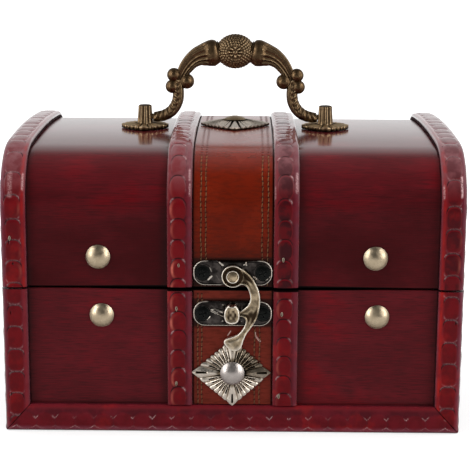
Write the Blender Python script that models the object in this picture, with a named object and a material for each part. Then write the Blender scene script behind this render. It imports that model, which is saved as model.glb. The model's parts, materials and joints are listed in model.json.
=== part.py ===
"""A small wooden storage box with a domed lid, embossed trim, a swing-hook latch and a bail handle.

The box stands on z = 0 with its origin under its middle. Its front faces -Y and its length runs
along X. All sizes are in metres.
"""

import math

import bmesh
import bpy
from mathutils import Matrix, Vector

# The box as a whole
BOX_LENGTH = 0.220
BOX_DEPTH = 0.160
BASE_HEIGHT = 0.0708
SEAM_GAP = 0.0011
LID_HEIGHT = 0.0691
SHOULDER_RADIUS = 0.025
CROWN_RADIUS = 0.765

# Boards
WALL = 0.006
LID_SHELL = 0.005
FLOOR = 0.005
BOARD_EDGE = 0.0004
BLIND_SKIN = 0.0003

# Fit of one piece on another
CLEARANCE = 0.0003
OVERRUN = 0.001

# Embossed trim strips
TRIM_WIDTH = 0.012
TRIM_PROUD = 0.0035
TRIM_ROUND = 0.0014
CORNER_ROUND = 0.0022
RAIL_HEIGHT = 0.0134

# Leather strip down the middle
LEATHER_WIDTH = 0.038
LEATHER_THICKNESS = 0.0012

# Dome nails
NAIL_HEAD_RADIUS = 0.0058
NAIL_HEAD_HEIGHT = 0.0028
NAIL_SHANK_RADIUS = 0.0009
STUD_OUTSET = 0.00135
LID_STUD_SHIFT = 0.0018
LID_STUD_RISE = 0.0145
BASE_STUD_SHIFT = 0.0032
BASE_STUD_DROP = 0.0131

# Fluted diamond ornaments
BASE_ORNAMENT_WIDTH = 0.0372
BASE_ORNAMENT_HEIGHT = 0.0322
BASE_ORNAMENT_FOOT_GAP = 0.0005
LID_ORNAMENT_WIDTH = 0.034
LID_ORNAMENT_DEPTH = 0.032
ORNAMENT_RIM = 0.0009
ORNAMENT_HUB = 0.0018
ORNAMENT_PLEAT = 0.0005
ORNAMENT_CORNER_POWER = 1.02

# Latch plates and their screws
PLATE_LENGTH = 0.0376
PLATE_HEIGHT = 0.0121
PLATE_THICKNESS = 0.0012
PLATE_EDGE = 0.0003
PLATE_RISE = 0.0076
PAD_LENGTH = 0.014
PAD_TOP_LENGTH = 0.0105
PAD_MARGIN = 0.0006
PAD_RISE = 0.0009
SCREW_SPACING = 0.0286
SCREW_HEAD_RADIUS = 0.0034
SCREW_CROWN = 0.0005
SCREW_CONE = 0.0016
SCREW_SHANK_RADIUS = 0.0011

# Swing hook
HOOK_TAIL_GAP = 0.0049
HOOK_THICKNESS = 0.0019
HOOK_EDGE = 0.0003
HOOK_PIVOT_DROP = 0.0011
RIVET_HEAD_RADIUS = 0.0031
RIVET_HEAD_HEIGHT = 0.0007
RIVET_SHANK_RADIUS = 0.0016

# Catch knob
KNOB_WIDTH = 0.0080
KNOB_HEIGHT = 0.0105
KNOB_THICKNESS = 0.0016
BEAK_PLAY = 0.0009
BEAK_DROP_SHARE = 0.5

# Hinges at the back
HINGE_WIDTH = 0.024
HINGE_LEAF_HEIGHT = 0.0155
HINGE_LEAF_THICKNESS = 0.0009
HINGE_LEAF_CORNER = 0.002
HINGE_BARREL_RADIUS = 0.002
HINGE_PIN_RADIUS = 0.0008
HINGE_PIN_HEAD_RADIUS = 0.0014
HINGE_PIN_HEAD_HEIGHT = 0.0006
HINGE_STANDOFF = 0.0004
HINGE_ROOT = 0.0014

# Bail handle
BAIL_RISE = 0.0338
BAIL_PIVOT_RISE = 0.0061
HORN_RADIUS = 0.0068
HORN_DEPTH_SHARE = 0.78
HORN_FLUTE_SHARE = 0.05
HORN_FADE_SHARE = 0.1
ROPE_RADIUS = 0.0029
ROPE_LAY_SHARE = 0.07
ROPE_TURN = 0.019
SCROLL_RADIUS = 0.0033
SCROLL_DEPTH_SHARE = 0.95
BEAD_HALF_LENGTH = 0.0096
BEAD_HALF_HEIGHT = 0.0085
BEAD_HALF_DEPTH = 0.0072
BAIL_PIN_RADIUS = 0.0014
BAIL_PIN_ROOT = 0.001
BAIL_PIN_GRIP = 0.0021
BAIL_END_GAP = 0.0005

# Handle posts and rosettes
POST_BASE_RADIUS = 0.0039
POST_TOP_RADIUS = 0.0032
POST_ABOVE_PIVOT = 0.0061
POST_FLUTE_SHARE = 0.06
ROSETTE_RADIUS = 0.0122
ROSETTE_STRAP_GAP = 0.00325
ROSETTE_RIM = 0.0008
ROSETTE_HUB = 0.0017
ROSETTE_PLEAT = 0.0004
ROSETTE_CORNER_POWER = 1.6
POST_SCREW_HEAD_RADIUS = 0.003
POST_SCREW_HEAD_HEIGHT = 0.0018
POST_SCREW_RADIUS = 0.0011
POST_SCREW_SHARE = 0.6

# Numbers of facets, and of what repeats
SHARP_DEGREES = 38
SHOULDER_STEPS = 6
CROWN_STEPS = 4
ROUND_STEPS = 16
DOME_STEPS = 4
FILLET_STEPS = 2
PLATE_END_STEPS = 6
KNOB_STEPS = 10
SCROLL_STEPS = 10
BEAD_STEPS = 18
ORNAMENT_FLUTES = 28
ROSETTE_LOBES = 12
POST_FLUTES = 9
HORN_FLUTES = 8
ROPE_STRANDS = 3

# Places worked out from the sizes above
PANEL_X = BOX_LENGTH / 2 - TRIM_PROUD
PANEL_Y = BOX_DEPTH / 2 - TRIM_PROUD
LID_RIM = BASE_HEIGHT + SEAM_GAP
LID_CREST = LID_RIM + LID_HEIGHT - TRIM_PROUD
STRAP_X = LEATHER_WIDTH / 2 + CLEARANCE + TRIM_WIDTH / 2
STRAP_EDGE_X = STRAP_X + TRIM_WIDTH / 2
BAY_X = (STRAP_EDGE_X + BOX_LENGTH / 2 - TRIM_WIDTH) / 2
POST_X = STRAP_EDGE_X + ROSETTE_STRAP_GAP + ROSETTE_RADIUS
LEATHER_FACE = CLEARANCE + LEATHER_THICKNESS
PLATE_FACE = LEATHER_FACE + CLEARANCE + PLATE_THICKNESS
PAD_FACE = PLATE_FACE + PAD_RISE
HOOK_FACE = PAD_FACE + CLEARANCE + HOOK_THICKNESS
KNOB_MIDDLE = HOOK_FACE + BEAK_PLAY + KNOB_THICKNESS / 2
HOOK_PLATE_Z = LID_RIM + PLATE_RISE
BASE_ORNAMENT_Z = RAIL_HEIGHT + BASE_ORNAMENT_FOOT_GAP + BASE_ORNAMENT_HEIGHT / 2
HOOK_PIVOT = Vector((0, -PANEL_Y - HOOK_FACE, HOOK_PLATE_Z - HOOK_PIVOT_DROP))
HOOK_REACH = HOOK_PIVOT.z - BASE_ORNAMENT_Z - NAIL_HEAD_RADIUS - HOOK_TAIL_GAP
CATCH_Z = HOOK_PIVOT.z - BEAK_DROP_SHARE * HOOK_REACH
LID_PIVOT = Vector((0, BOX_DEPTH / 2 + HINGE_STANDOFF, BASE_HEIGHT + SEAM_GAP / 2))
BAIL_PIVOT = Vector((0, 0, LID_CREST + BAIL_PIVOT_RISE))
POST_SEAT = LID_CREST + CLEARANCE + ROSETTE_HUB + CLEARANCE
BAIL_REACH = POST_X - POST_BASE_RADIUS - BAIL_END_GAP

# A pleated disc's rings from its edge inwards, and how far in its pleats fade
PLEAT_RING_SHARES = (1.0, 0.84, 0.56, 0.24)
PLEAT_FADE_SHARE = 0.7

# The swing hook's outline about its pivot, as turns round the eye and shares of its reach: right, up
HOOK_EYE_SHARE = 0.1406
HOOK_EYE_TURNS_SHARES = (0.085, 0.815)
HOOK_INNER_SHARES = (
    (0.109, -0.101), (0.166, -0.119), (0.206, -0.189), (0.223, -0.276), (0.215, -0.330),
    (0.186, -0.382), (0.122, -0.437), (0.045, -0.484), (0.038, -0.504), (0.078, -0.519),
    (0.121, -0.520), (0.152, -0.537), (0.167, -0.586), (0.158, -0.650), (0.122, -0.722),
    (0.066, -0.788), (0.000, -0.828), (-0.058, -0.842),
)
HOOK_OUTER_SHARES = (
    (-0.091, -0.870), (-0.094, -0.920), (-0.046, -0.976), (0.030, -1.000), (0.097, -0.972),
    (0.128, -0.907), (0.146, -0.830), (0.194, -0.740), (0.263, -0.637), (0.310, -0.538),
    (0.342, -0.414), (0.350, -0.302), (0.332, -0.191), (0.276, -0.064), (0.200, 0.026),
)

# The catch's tongue from its root to its tip: up in knob heights, out in reaches, width, thickness
TONGUE_SHARES = (
    (0.36, -0.08, 0.26, 0.85), (0.37, 0.35, 0.25, 0.85), (0.38, 0.75, 0.30, 0.85),
    (0.31, 0.97, 0.56, 0.90), (0.14, 1.00, 0.88, 1.00), (-0.08, 1.00, 1.00, 1.00),
    (-0.28, 1.00, 0.90, 1.00), (-0.41, 1.00, 0.64, 0.90), (-0.48, 0.99, 0.30, 0.60),
)

# Half of the bail from the bead outwards: along in reaches, up in rises, thickness
HORN_SHARES = (
    (0.166, 1.000, 0.70), (0.208, 0.985, 0.84), (0.263, 0.976, 1.00), (0.320, 0.962, 0.97),
    (0.384, 0.944, 0.86), (0.458, 0.914, 0.73), (0.532, 0.850, 0.62), (0.585, 0.775, 0.56),
    (0.625, 0.700, 0.50), (0.662, 0.610, 0.42), (0.682, 0.520, 0.34),
)
ROPE_SHARES = (
    (0.687, 0.560, 0.86), (0.695, 0.440, 0.96), (0.695, 0.330, 1.00), (0.706, 0.235, 1.00),
    (0.742, 0.140, 1.00), (0.797, 0.065, 1.00), (0.872, 0.015, 0.98), (0.958, -0.006, 0.92),
    (1.000, 0.000, 0.80),
)
SCROLLS_SHARES = ((0.596, 0.530, 1.06), (0.754, 0.640, 0.98), (0.786, 0.455, 0.95))

# A post from its foot to its top: up in heights, width
POST_SHARES = ((0.0, 1.0), (0.5, 1.0), (0.90, 1.0), (0.97, 0.90), (1.0, 0.68))


def clear_scene():
    for thing in list(bpy.data.objects):
        bpy.data.objects.remove(thing)


def material(name, colour, roughness, metallic=0.0, coat=0.0):
    """A Principled BSDF of one colour."""
    made = bpy.data.materials.new(name)
    made.use_nodes = True
    made.diffuse_color = (*colour, 1.0)
    shader = made.node_tree.nodes["Principled BSDF"]
    shader.inputs["Base Color"].default_value = (*colour, 1.0)
    shader.inputs["Roughness"].default_value = roughness
    shader.inputs["Metallic"].default_value = metallic
    shader.inputs["Coat Weight"].default_value = coat
    return made


# Outlines


def filleted(corners, steps=FILLET_STEPS):
    """The outline through corners (across, up, radius), each rounded to its radius."""
    outline = []
    for index, (across, up, radius) in enumerate(corners):
        corner = Vector((across, up))
        before = (Vector(corners[index - 1][:2]) - corner).normalized()
        after = (Vector(corners[(index + 1) % len(corners)][:2]) - corner).normalized()
        if radius == 0:
            outline.append(corner)
            continue
        half = before.angle(after) / 2
        centre = corner + (before + after).normalized() * radius / math.sin(half)
        start = corner + before * radius / math.tan(half) - centre
        turn = math.copysign(math.pi - 2 * half, after.cross(before))
        for step in range(steps + 1):
            outline.append(centre + Matrix.Rotation(turn * step / steps, 2) @ start)
    return outline


def smooth_through(points, steps):
    """A Catmull-Rom curve through points of any dimension, open, with steps spans between two."""
    points = [Vector(point) for point in points]
    ends = [2 * points[0] - points[1], *points, 2 * points[-1] - points[-2]]
    curve = [points[0]]
    for before, start, end, after in zip(ends, ends[1:], ends[2:], ends[3:]):
        for step in range(1, steps + 1):
            t = step / steps
            slope_in, slope_out = (end - before) / 2, (after - start) / 2
            curve.append(
                start * (2 * t**3 - 3 * t**2 + 1)
                + slope_in * (t**3 - 2 * t**2 + t)
                + end * (3 * t**2 - 2 * t**3)
                + slope_out * (t**3 - t**2)
            )
    return curve


def circle(radius, steps=ROUND_STEPS):
    turns = [2 * math.pi * step / steps for step in range(steps)]
    return [Vector((radius * math.cos(turn), radius * math.sin(turn))) for turn in turns]


def trim_section(width):
    """The trim's cross-section: across from its middle, and out from the panel."""
    half = width / 2
    return filleted((
        (-half, CLEARANCE, 0), (half, CLEARANCE, 0),
        (half, TRIM_PROUD, TRIM_ROUND), (-half, TRIM_PROUD, TRIM_ROUND),
    ))


def corner_section():
    """The corner trim's L-shaped cross-section, as distances inwards from its two outer faces."""
    inner = TRIM_PROUD - CLEARANCE
    return filleted((
        (0, 0, CORNER_ROUND), (TRIM_WIDTH, 0, TRIM_ROUND), (TRIM_WIDTH, inner, 0),
        (inner, inner, 0), (inner, TRIM_WIDTH, 0), (0, TRIM_WIDTH, TRIM_ROUND),
    ))


def lid_stations():
    """Points of the lid shell's outer face with their outward normals, front rim to back rim."""
    crown_z = LID_CREST - CROWN_RADIUS
    shoulder_y = PANEL_Y - SHOULDER_RADIUS
    shoulder_z = crown_z + math.sqrt((CROWN_RADIUS - SHOULDER_RADIUS) ** 2 - shoulder_y**2)
    lean = math.atan2(shoulder_y, shoulder_z - crown_z)
    front = []
    for step in range(SHOULDER_STEPS + 1):
        tilt = math.pi / 2 + (lean - math.pi / 2) * step / SHOULDER_STEPS
        normal = Vector((-math.sin(tilt), math.cos(tilt)))
        front.append((Vector((-shoulder_y, shoulder_z)) + SHOULDER_RADIUS * normal, normal))
    crown = []
    for step in range(1, CROWN_STEPS):
        tilt = lean * (1 - 2 * step / CROWN_STEPS)
        normal = Vector((-math.sin(tilt), math.cos(tilt)))
        crown.append((Vector((0, crown_z)) + CROWN_RADIUS * normal, normal))
    front.insert(0, (Vector((-PANEL_Y, LID_RIM)), Vector((-1, 0))))
    back = [
        (Vector((-point.x, point.y)), Vector((-normal.x, normal.y)))
        for point, normal in reversed(front)
    ]
    return front + crown + back


# Solids


def lofted(rings):
    """A closed mesh through rings of as many points each, with a face over the first and the last."""
    mesh = bmesh.new()
    loops = [[mesh.verts.new(point) for point in ring] for ring in rings]
    for lower, upper in zip(loops, loops[1:]):
        for index in range(len(lower)):
            after = (index + 1) % len(lower)
            mesh.faces.new((lower[index], lower[after], upper[after], upper[index]))
    mesh.faces.new(reversed(loops[0]))
    mesh.faces.new(loops[-1])
    bmesh.ops.recalc_face_normals(mesh, faces=mesh.faces)
    return mesh


def extruded(outline, start, end, place):
    """The outline drawn out from start to end, with place turning (across, up, along) into a point."""
    return lofted([[place(point.x, point.y, along) for point in outline] for along in (start, end)])


def turned(profile):
    """A solid of revolution about local Z. The profile runs from axis to axis as (radius, height)."""
    mesh = bmesh.new()
    points = [mesh.verts.new((radius, 0, height)) for radius, height in profile]
    edges = [mesh.edges.new(pair) for pair in zip(points, points[1:])]
    bmesh.ops.spin(
        mesh, geom=points + edges, cent=(0, 0, 0), axis=(0, 0, 1),
        angle=2 * math.pi, steps=ROUND_STEPS, use_merge=True,
    )
    bmesh.ops.remove_doubles(mesh, verts=mesh.verts, dist=CLEARANCE / 100)
    bmesh.ops.recalc_face_normals(mesh, faces=mesh.faces)
    return mesh


def board(low, high):
    """A box from its low corner to its high corner, its edges eased."""
    mesh = bmesh.new()
    bmesh.ops.create_cube(mesh, size=1)
    low, high = Vector(low), Vector(high)
    size = high - low
    for vert in mesh.verts:
        vert.co = (low + high) / 2 + Vector(a * b for a, b in zip(vert.co, size))
    bmesh.ops.bevel(
        mesh, geom=mesh.edges[:], offset=BOARD_EDGE, segments=1, affect="EDGES", profile=0.5,
    )
    return mesh


def keep_side(mesh, point, normal):
    """Cuts the mesh along a plane, keeps what lies on the normal's side and closes the cut."""
    normal = Vector(normal).normalized()
    bmesh.ops.bisect_plane(
        mesh, geom=mesh.verts[:] + mesh.edges[:] + mesh.faces[:],
        plane_co=Vector(point) + normal * CLEARANCE / 2, plane_no=normal, clear_inner=True,
    )
    bmesh.ops.holes_fill(mesh, edges=[edge for edge in mesh.edges if edge.is_boundary])
    bmesh.ops.recalc_face_normals(mesh, faces=mesh.faces)


def ease_rim(mesh, height, width):
    """Rounds over the edges of the face that lies at this height of local Z."""
    top = {face for face in mesh.faces if all(abs(v.co.z - height) < width / 10 for v in face.verts)}
    edges = [edge for edge in mesh.edges if len(top.intersection(edge.link_faces)) == 1]
    bmesh.ops.bevel(mesh, geom=edges, offset=width, segments=2, affect="EDGES", profile=0.5)


def pleated_disc(half_width, half_height, rim, hub, pleat, flutes, corner_power):
    """A stamped disc with radial pleats that swell its edge: flat below, raised to a hub in the middle."""
    steps = flutes * 2
    innermost = PLEAT_RING_SHARES[-1]

    def edge(index):
        turn = 2 * math.pi * index / steps
        across, up = math.cos(turn), math.sin(turn)
        span = (abs(across / half_width) ** corner_power + abs(up / half_height) ** corner_power)
        swell = pleat * math.cos(flutes * turn)
        return Vector((across, up)) * (span ** (-1 / corner_power) - pleat + swell), swell

    def ring(inwards, height, ripple):
        points = []
        for index in range(steps):
            reach, swell = edge(index)
            points.append((*(reach * inwards), height + ripple * swell / 2))
        return points

    rings = [ring(innermost, 0, 0), ring(1, 0, 0)]
    for inwards in PLEAT_RING_SHARES:
        outwards = (inwards - innermost) / (1 - innermost)
        ripple = math.sin(math.pi * outwards * PLEAT_FADE_SHARE)
        height = hub + (rim - hub) * outwards - pleat * ripple / 2
        rings.append(ring(inwards, height, ripple))
    return lofted(rings)


# Objects


def pivot(name, point, parent=None):
    """An empty on a joint's axis."""
    empty = bpy.data.objects.new(name, None)
    bpy.context.scene.collection.objects.link(empty)
    empty.location = point - (parent["world"] if parent else Vector((0, 0, 0)))
    empty.parent = parent["empty"] if parent else None
    return {"empty": empty, "world": point}


def solid(name, mesh, finish, carrier=None):
    """Makes an object of the mesh. What moves is measured from the pivot that carries it."""
    if carrier:
        bmesh.ops.translate(mesh, vec=-carrier["world"], verts=mesh.verts)
    data = bpy.data.meshes.new(name)
    mesh.to_mesh(data)
    mesh.free()
    data.shade_smooth()
    data.set_sharp_from_angle(angle=math.radians(SHARP_DEGREES))
    data.materials.append(finish)
    made = bpy.data.objects.new(name, data)
    bpy.context.scene.collection.objects.link(made)
    made.parent = carrier["empty"] if carrier else None
    return made


def placed(mesh, place):
    """The mesh moved by a matrix."""
    bmesh.ops.transform(mesh, matrix=place, verts=mesh.verts)
    return mesh


def cutter(name, mesh):
    """A guide that is left out of the object itself."""
    data = bpy.data.meshes.new(name)
    mesh.to_mesh(data)
    mesh.free()
    made = bpy.data.objects.new(name, data)
    bpy.context.scene.collection.objects.link(made)
    made.hide_render = True
    made.display_type = "WIRE"
    return made


def combine(target, other, operation):
    modifier = target.modifiers.new(other.name, "BOOLEAN")
    modifier.operation = operation
    modifier.solver = "EXACT"
    modifier.object = other


def out_of_front(across, up, out=0.0):
    """Local Z points out of the front, from a point this far out from the front panel."""
    return Matrix.Translation((across, -PANEL_Y - out, up)) @ Matrix.Rotation(math.pi / 2, 4, "X")


def out_of_lid(across, along, out=0.0):
    """Local Z points up, from a point this far out from the lid's crest."""
    return Matrix.Translation((across, along, LID_CREST + out))


def fastener_profile(head_radius, head_height, cone, shank_radius, reach):
    """A domed head over an optional countersink and a pointed shank. Height zero is its seat."""
    dome = []
    for step in range(DOME_STEPS + 1):
        turn = math.pi / 2 * (1 - step / DOME_STEPS)
        dome.append((head_radius * math.cos(turn), head_height * math.sin(turn)))
    dome[0] = (0, head_height)
    return dome + [(shank_radius, -cone), (shank_radius, -reach), (0, -reach - shank_radius)]


def bore_profile(head_radius, cone, shank_radius, reach):
    """The hole that takes such a fastener, open above its seat."""
    wide = shank_radius + CLEARANCE
    mouth = [(wide, OVERRUN)]
    if cone:
        rim = head_radius + CLEARANCE
        mouth = [(rim, OVERRUN), (rim, 0), (wide, -cone - CLEARANCE)]
    end = reach + CLEARANCE
    return [(0, OVERRUN), *mouth, (wide, -end), (0, -end - wide)]


def reach_from(seat, shank_radius):
    """How far a shank reaches down from a seat this far out, so that its hole in the lid stays blind."""
    return seat + LID_SHELL - BLIND_SKIN - 2 * CLEARANCE - shank_radius


def fasten(name, sizes, place, finish, carrier, targets):
    """A fastener set into every target that its shank passes."""
    head_radius, _, cone, shank_radius, reach = sizes
    hole = turned(bore_profile(head_radius, cone, shank_radius, reach))
    bore = cutter(f"{name}_bore", placed(hole, place))
    for target in targets:
        combine(target, bore, "DIFFERENCE")
    return solid(name, placed(turned(fastener_profile(*sizes)), place), finish, carrier)


# Base


def make_base(finishes):
    """The open box below the seam, with its trim, and the panels that later pieces are fixed to."""
    panel, trim, leather = finishes["panel"], finishes["trim"], finishes["leather"]
    inside_x, inside_y = PANEL_X - WALL, PANEL_Y - WALL
    gap = CLEARANCE
    solid("base_floor", board(
        (-inside_x + gap, -inside_y + gap, 0), (inside_x - gap, inside_y - gap, FLOOR)), panel)
    parts = {}
    for side, name in ((-1, "front"), (1, "back")):
        near, far = sorted((side * inside_y, side * PANEL_Y))
        parts[name] = solid(f"base_{name}_panel", board(
            (-PANEL_X, near, 0), (PANEL_X, far, BASE_HEIGHT)), panel)
    for side, name in ((-1, "left"), (1, "right")):
        near, far = sorted((side * inside_x, side * PANEL_X))
        solid(f"base_{name}_panel", board(
            (near, -inside_y + gap, 0), (far, inside_y - gap, BASE_HEIGHT)), panel)

    half_length, half_depth = BOX_LENGTH / 2, BOX_DEPTH / 2
    bottom_rail("bottom_rail_front", half_length, half_depth, 0, trim)
    bottom_rail("bottom_rail_right", half_depth, half_length, math.pi / 2, trim)
    bottom_rail("bottom_rail_back", half_length, half_depth, math.pi, trim)
    bottom_rail("bottom_rail_left", half_depth, half_length, -math.pi / 2, trim)
    for end, end_name in ((-1, "left"), (1, "right")):
        for side, side_name in ((-1, "front"), (1, "back")):
            corner_moulding(f"corner_trim_{side_name}_{end_name}", end, side, trim)

    rail_top = RAIL_HEIGHT + CLEARANCE
    for side, side_name in ((-1, "front"), (1, "back")):
        for end, end_name in ((-1, "left"), (1, "right")):
            solid(f"base_strap_{side_name}_{end_name}", extruded(
                trim_section(TRIM_WIDTH), rail_top, BASE_HEIGHT,
                lambda x, out, z: (end * STRAP_X + x, side * (PANEL_Y + out), z)), trim)
        near, far = sorted((side * (PANEL_Y + CLEARANCE), side * (PANEL_Y + LEATHER_FACE)))
        parts[f"{side_name}_leather"] = solid(f"base_leather_{side_name}", board(
            (-LEATHER_WIDTH / 2, near, rail_top), (LEATHER_WIDTH / 2, far, BASE_HEIGHT)), leather)
    return parts


def bottom_rail(name, half_length, half_across, turn, finish):
    """A rail along the foot of one side, mitred to the uprights and to the next rails."""
    section = filleted((
        (0, 0, TRIM_ROUND), (0, RAIL_HEIGHT, TRIM_ROUND),
        (TRIM_PROUD - CLEARANCE, RAIL_HEIGHT, 0), (TRIM_PROUD - CLEARANCE, 0, 0),
    ))
    mesh = extruded(section, -half_length, half_length,
                    lambda inwards, z, along: (along, inwards - half_across, z))
    for end in (-1, 1):
        corner = (end * half_length, -half_across, 0)
        keep_side(mesh, corner, (-end * RAIL_HEIGHT, 0, -TRIM_WIDTH))
        keep_side(mesh, corner, (-end, -1, 0))
    solid(name, placed(mesh, Matrix.Rotation(turn, 4, "Z")), finish)


def corner_moulding(name, end, side, finish):
    """An L-shaped upright that wraps one corner. Each arm of the L is mitred to its rail at the foot."""
    slope = RAIL_HEIGHT / TRIM_WIDTH
    lift = CLEARANCE / 2 * math.hypot(1, slope)
    rings = [[], []]
    for a, b in corner_section():
        across, along = end * (BOX_LENGTH / 2 - a), side * (BOX_DEPTH / 2 - b)
        rings[0].append((across, along, lift + slope * max(a, b)))
        rings[1].append((across, along, BASE_HEIGHT))
    mesh = lofted(rings)
    foot = min(mesh.faces, key=lambda face: face.calc_center_median().z)
    diagonal = sorted(foot.verts, key=mitre_offset)[:2]
    bmesh.utils.face_split(foot, *diagonal)
    solid(name, mesh, finish)


def mitre_offset(vert):
    """How far a point of an upright lies from the diagonal through its corner, seen from above."""
    return abs(BOX_LENGTH / 2 - abs(vert.co.x) - BOX_DEPTH / 2 + abs(vert.co.y))


# Lid


def over_lid(section, shift=0.0):
    """A strip bent over the lid from rim to rim: section points are across along X, and out."""
    return lofted([
        [(shift + across, point.x + normal.x * out, point.y + normal.y * out) for across, out in section]
        for point, normal in lid_stations()
    ])


def make_lid(finishes, lid):
    """The bent shell, its two end boards and everything that is laid over it."""
    panel, trim, leather = finishes["panel"], finishes["trim"], finishes["leather"]
    parts = {"shell": solid("lid_shell", over_lid(
        ((-PANEL_X, -LID_SHELL), (-PANEL_X, 0), (PANEL_X, 0), (PANEL_X, -LID_SHELL))), panel, lid)}
    inset = LID_SHELL + CLEARANCE
    outline = [point - normal * inset for point, normal in lid_stations()]
    for end, name in ((-1, "left"), (1, "right")):
        solid(f"lid_end_{name}", extruded(
            outline, end * (PANEL_X - WALL), end * PANEL_X, lambda y, z, x: (x, y, z)), panel, lid)
        band = [(end * (BOX_LENGTH / 2 - a), TRIM_PROUD - b) for a, b in corner_section()]
        solid(f"lid_end_band_{name}", over_lid(band), trim, lid)
        solid(f"lid_strap_{name}", over_lid(trim_section(TRIM_WIDTH), end * STRAP_X), trim, lid)
    half = LEATHER_WIDTH / 2
    strip = ((-half, CLEARANCE), (-half, LEATHER_FACE), (half, LEATHER_FACE), (half, CLEARANCE))
    parts["leather"] = solid("lid_leather", over_lid(strip), leather, lid)
    return parts


# Nails and ornaments


def make_trim_nails(finishes, base, lid_parts, lid):
    """Four dome studs on the front, and the two fluted ornaments with the nails that hold them."""
    nail = (NAIL_HEAD_RADIUS, NAIL_HEAD_HEIGHT, 0, NAIL_SHANK_RADIUS)
    stud = (*nail, reach_from(CLEARANCE, NAIL_SHANK_RADIUS))
    for end, name in ((-1, "left"), (1, "right")):
        across = end * (BAY_X + STUD_OUTSET)
        below = out_of_front(across + BASE_STUD_SHIFT, BASE_HEIGHT - BASE_STUD_DROP, CLEARANCE)
        fasten(f"base_stud_{name}", stud, below, finishes["stud"], None, [base["front"]])
        above = out_of_front(across + LID_STUD_SHIFT, LID_RIM + LID_STUD_RISE, CLEARANCE)
        fasten(f"lid_stud_{name}", stud, above, finishes["stud"], lid, [lid_parts["shell"]])

    seat = LEATHER_FACE + CLEARANCE
    top = seat + ORNAMENT_HUB + CLEARANCE
    long_nail = (*nail, reach_from(top, NAIL_SHANK_RADIUS))
    flower = (ORNAMENT_RIM, ORNAMENT_HUB, ORNAMENT_PLEAT, ORNAMENT_FLUTES, ORNAMENT_CORNER_POWER)
    front = solid("base_ornament", placed(
        pleated_disc(BASE_ORNAMENT_WIDTH / 2, BASE_ORNAMENT_HEIGHT / 2, *flower),
        out_of_front(0, BASE_ORNAMENT_Z, seat)), finishes["ornament"])
    fasten("base_ornament_nail", long_nail, out_of_front(0, BASE_ORNAMENT_Z, top),
           finishes["nail"], None, [front, base["front_leather"], base["front"]])
    crest = solid("lid_ornament", placed(
        pleated_disc(LID_ORNAMENT_WIDTH / 2, LID_ORNAMENT_DEPTH / 2, *flower),
        out_of_lid(0, 0, seat)), finishes["ornament"], lid)
    fasten("lid_ornament_nail", long_nail, out_of_lid(0, 0, top),
           finishes["bronze"], lid, [crest, lid_parts["leather"], lid_parts["shell"]])


# Latch


def latch_plate(name, centre_z, finish, carrier):
    """A plate with round ends, lying on the leather."""
    half_length, half_height = PLATE_LENGTH / 2, PLATE_HEIGHT / 2
    round_end = half_height - PLATE_EDGE
    outline = filleted((
        (-half_length, -half_height, round_end), (half_length, -half_height, round_end),
        (half_length, half_height, round_end), (-half_length, half_height, round_end),
    ), steps=PLATE_END_STEPS)
    mesh = extruded(outline, 0, PLATE_THICKNESS, lambda x, y, z: (x, y, z))
    ease_rim(mesh, PLATE_THICKNESS, PLATE_EDGE)
    back = PLATE_FACE - PLATE_THICKNESS
    return solid(name, placed(mesh, out_of_front(0, centre_z, back)), finish, carrier)


def plate_screws(name, centre_z, finish, carrier, targets):
    """The two countersunk screws of a latch plate."""
    reach = reach_from(PLATE_FACE, SCREW_SHANK_RADIUS)
    sizes = (SCREW_HEAD_RADIUS, SCREW_CROWN, SCREW_CONE, SCREW_SHANK_RADIUS, reach)
    for end, side in ((-1, "left"), (1, "right")):
        fasten(f"{name}_screw_{side}", sizes,
               out_of_front(end * SCREW_SPACING / 2, centre_z, PLATE_FACE), finish, carrier, targets)


def hook_pad():
    """The raised middle of the upper plate that the hook turns on, with sloping ends."""
    half_height = PLATE_HEIGHT / 2 - PLATE_EDGE - PAD_MARGIN
    foot = (PAD_LENGTH / 2, PLATE_THICKNESS / 2)
    top = (PAD_TOP_LENGTH / 2, PLATE_THICKNESS + PAD_RISE)
    rings = []
    for half_length, height in (foot, top):
        corners = ((-1, -1), (1, -1), (1, 1), (-1, 1))
        rings.append([(across * half_length, up * half_height, height) for across, up in corners])
    return placed(lofted(rings), out_of_front(0, HOOK_PLATE_Z, PLATE_FACE - PLATE_THICKNESS))


def hook_outline():
    """The hook's outline about its pivot: the eye, down the inner edge to the tail, and back outside."""
    start, end = (2 * math.pi * share for share in HOOK_EYE_TURNS_SHARES)
    steps = ROUND_STEPS * 3 // 4
    eye = []
    for step in range(steps + 1):
        turn = start + (end - start) * step / steps
        eye.append(Vector((math.cos(turn), math.sin(turn))) * HOOK_EYE_SHARE * HOOK_REACH)
    arm = [Vector(point) * HOOK_REACH for point in HOOK_INNER_SHARES + HOOK_OUTER_SHARES]
    return eye + smooth_through(arm, 2)


def catch_tongue():
    """The tongue that rises from the lower plate and hangs down in a knob over the hook's beak."""
    rows = [Vector(row) for row in TONGUE_SHARES]
    reach = KNOB_MIDDLE - PLATE_FACE
    spine = [Vector((row[0] * KNOB_HEIGHT, row[1] * reach)) for row in rows]
    rings = []
    for index, (row, middle) in enumerate(zip(rows, spine)):
        ahead = spine[min(index + 1, len(spine) - 1)] - spine[max(index - 1, 0)]
        across = Vector((-ahead.y, ahead.x)).normalized()
        rings.append([
            (
                KNOB_WIDTH / 2 * row[2] * point.x,
                middle.x + across.x * KNOB_THICKNESS / 2 * row[3] * point.y,
                middle.y + across.y * KNOB_THICKNESS / 2 * row[3] * point.y,
            )
            for point in circle(1, KNOB_STEPS)
        ])
    return placed(lofted(rings), out_of_front(0, CATCH_Z, PLATE_FACE))


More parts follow.
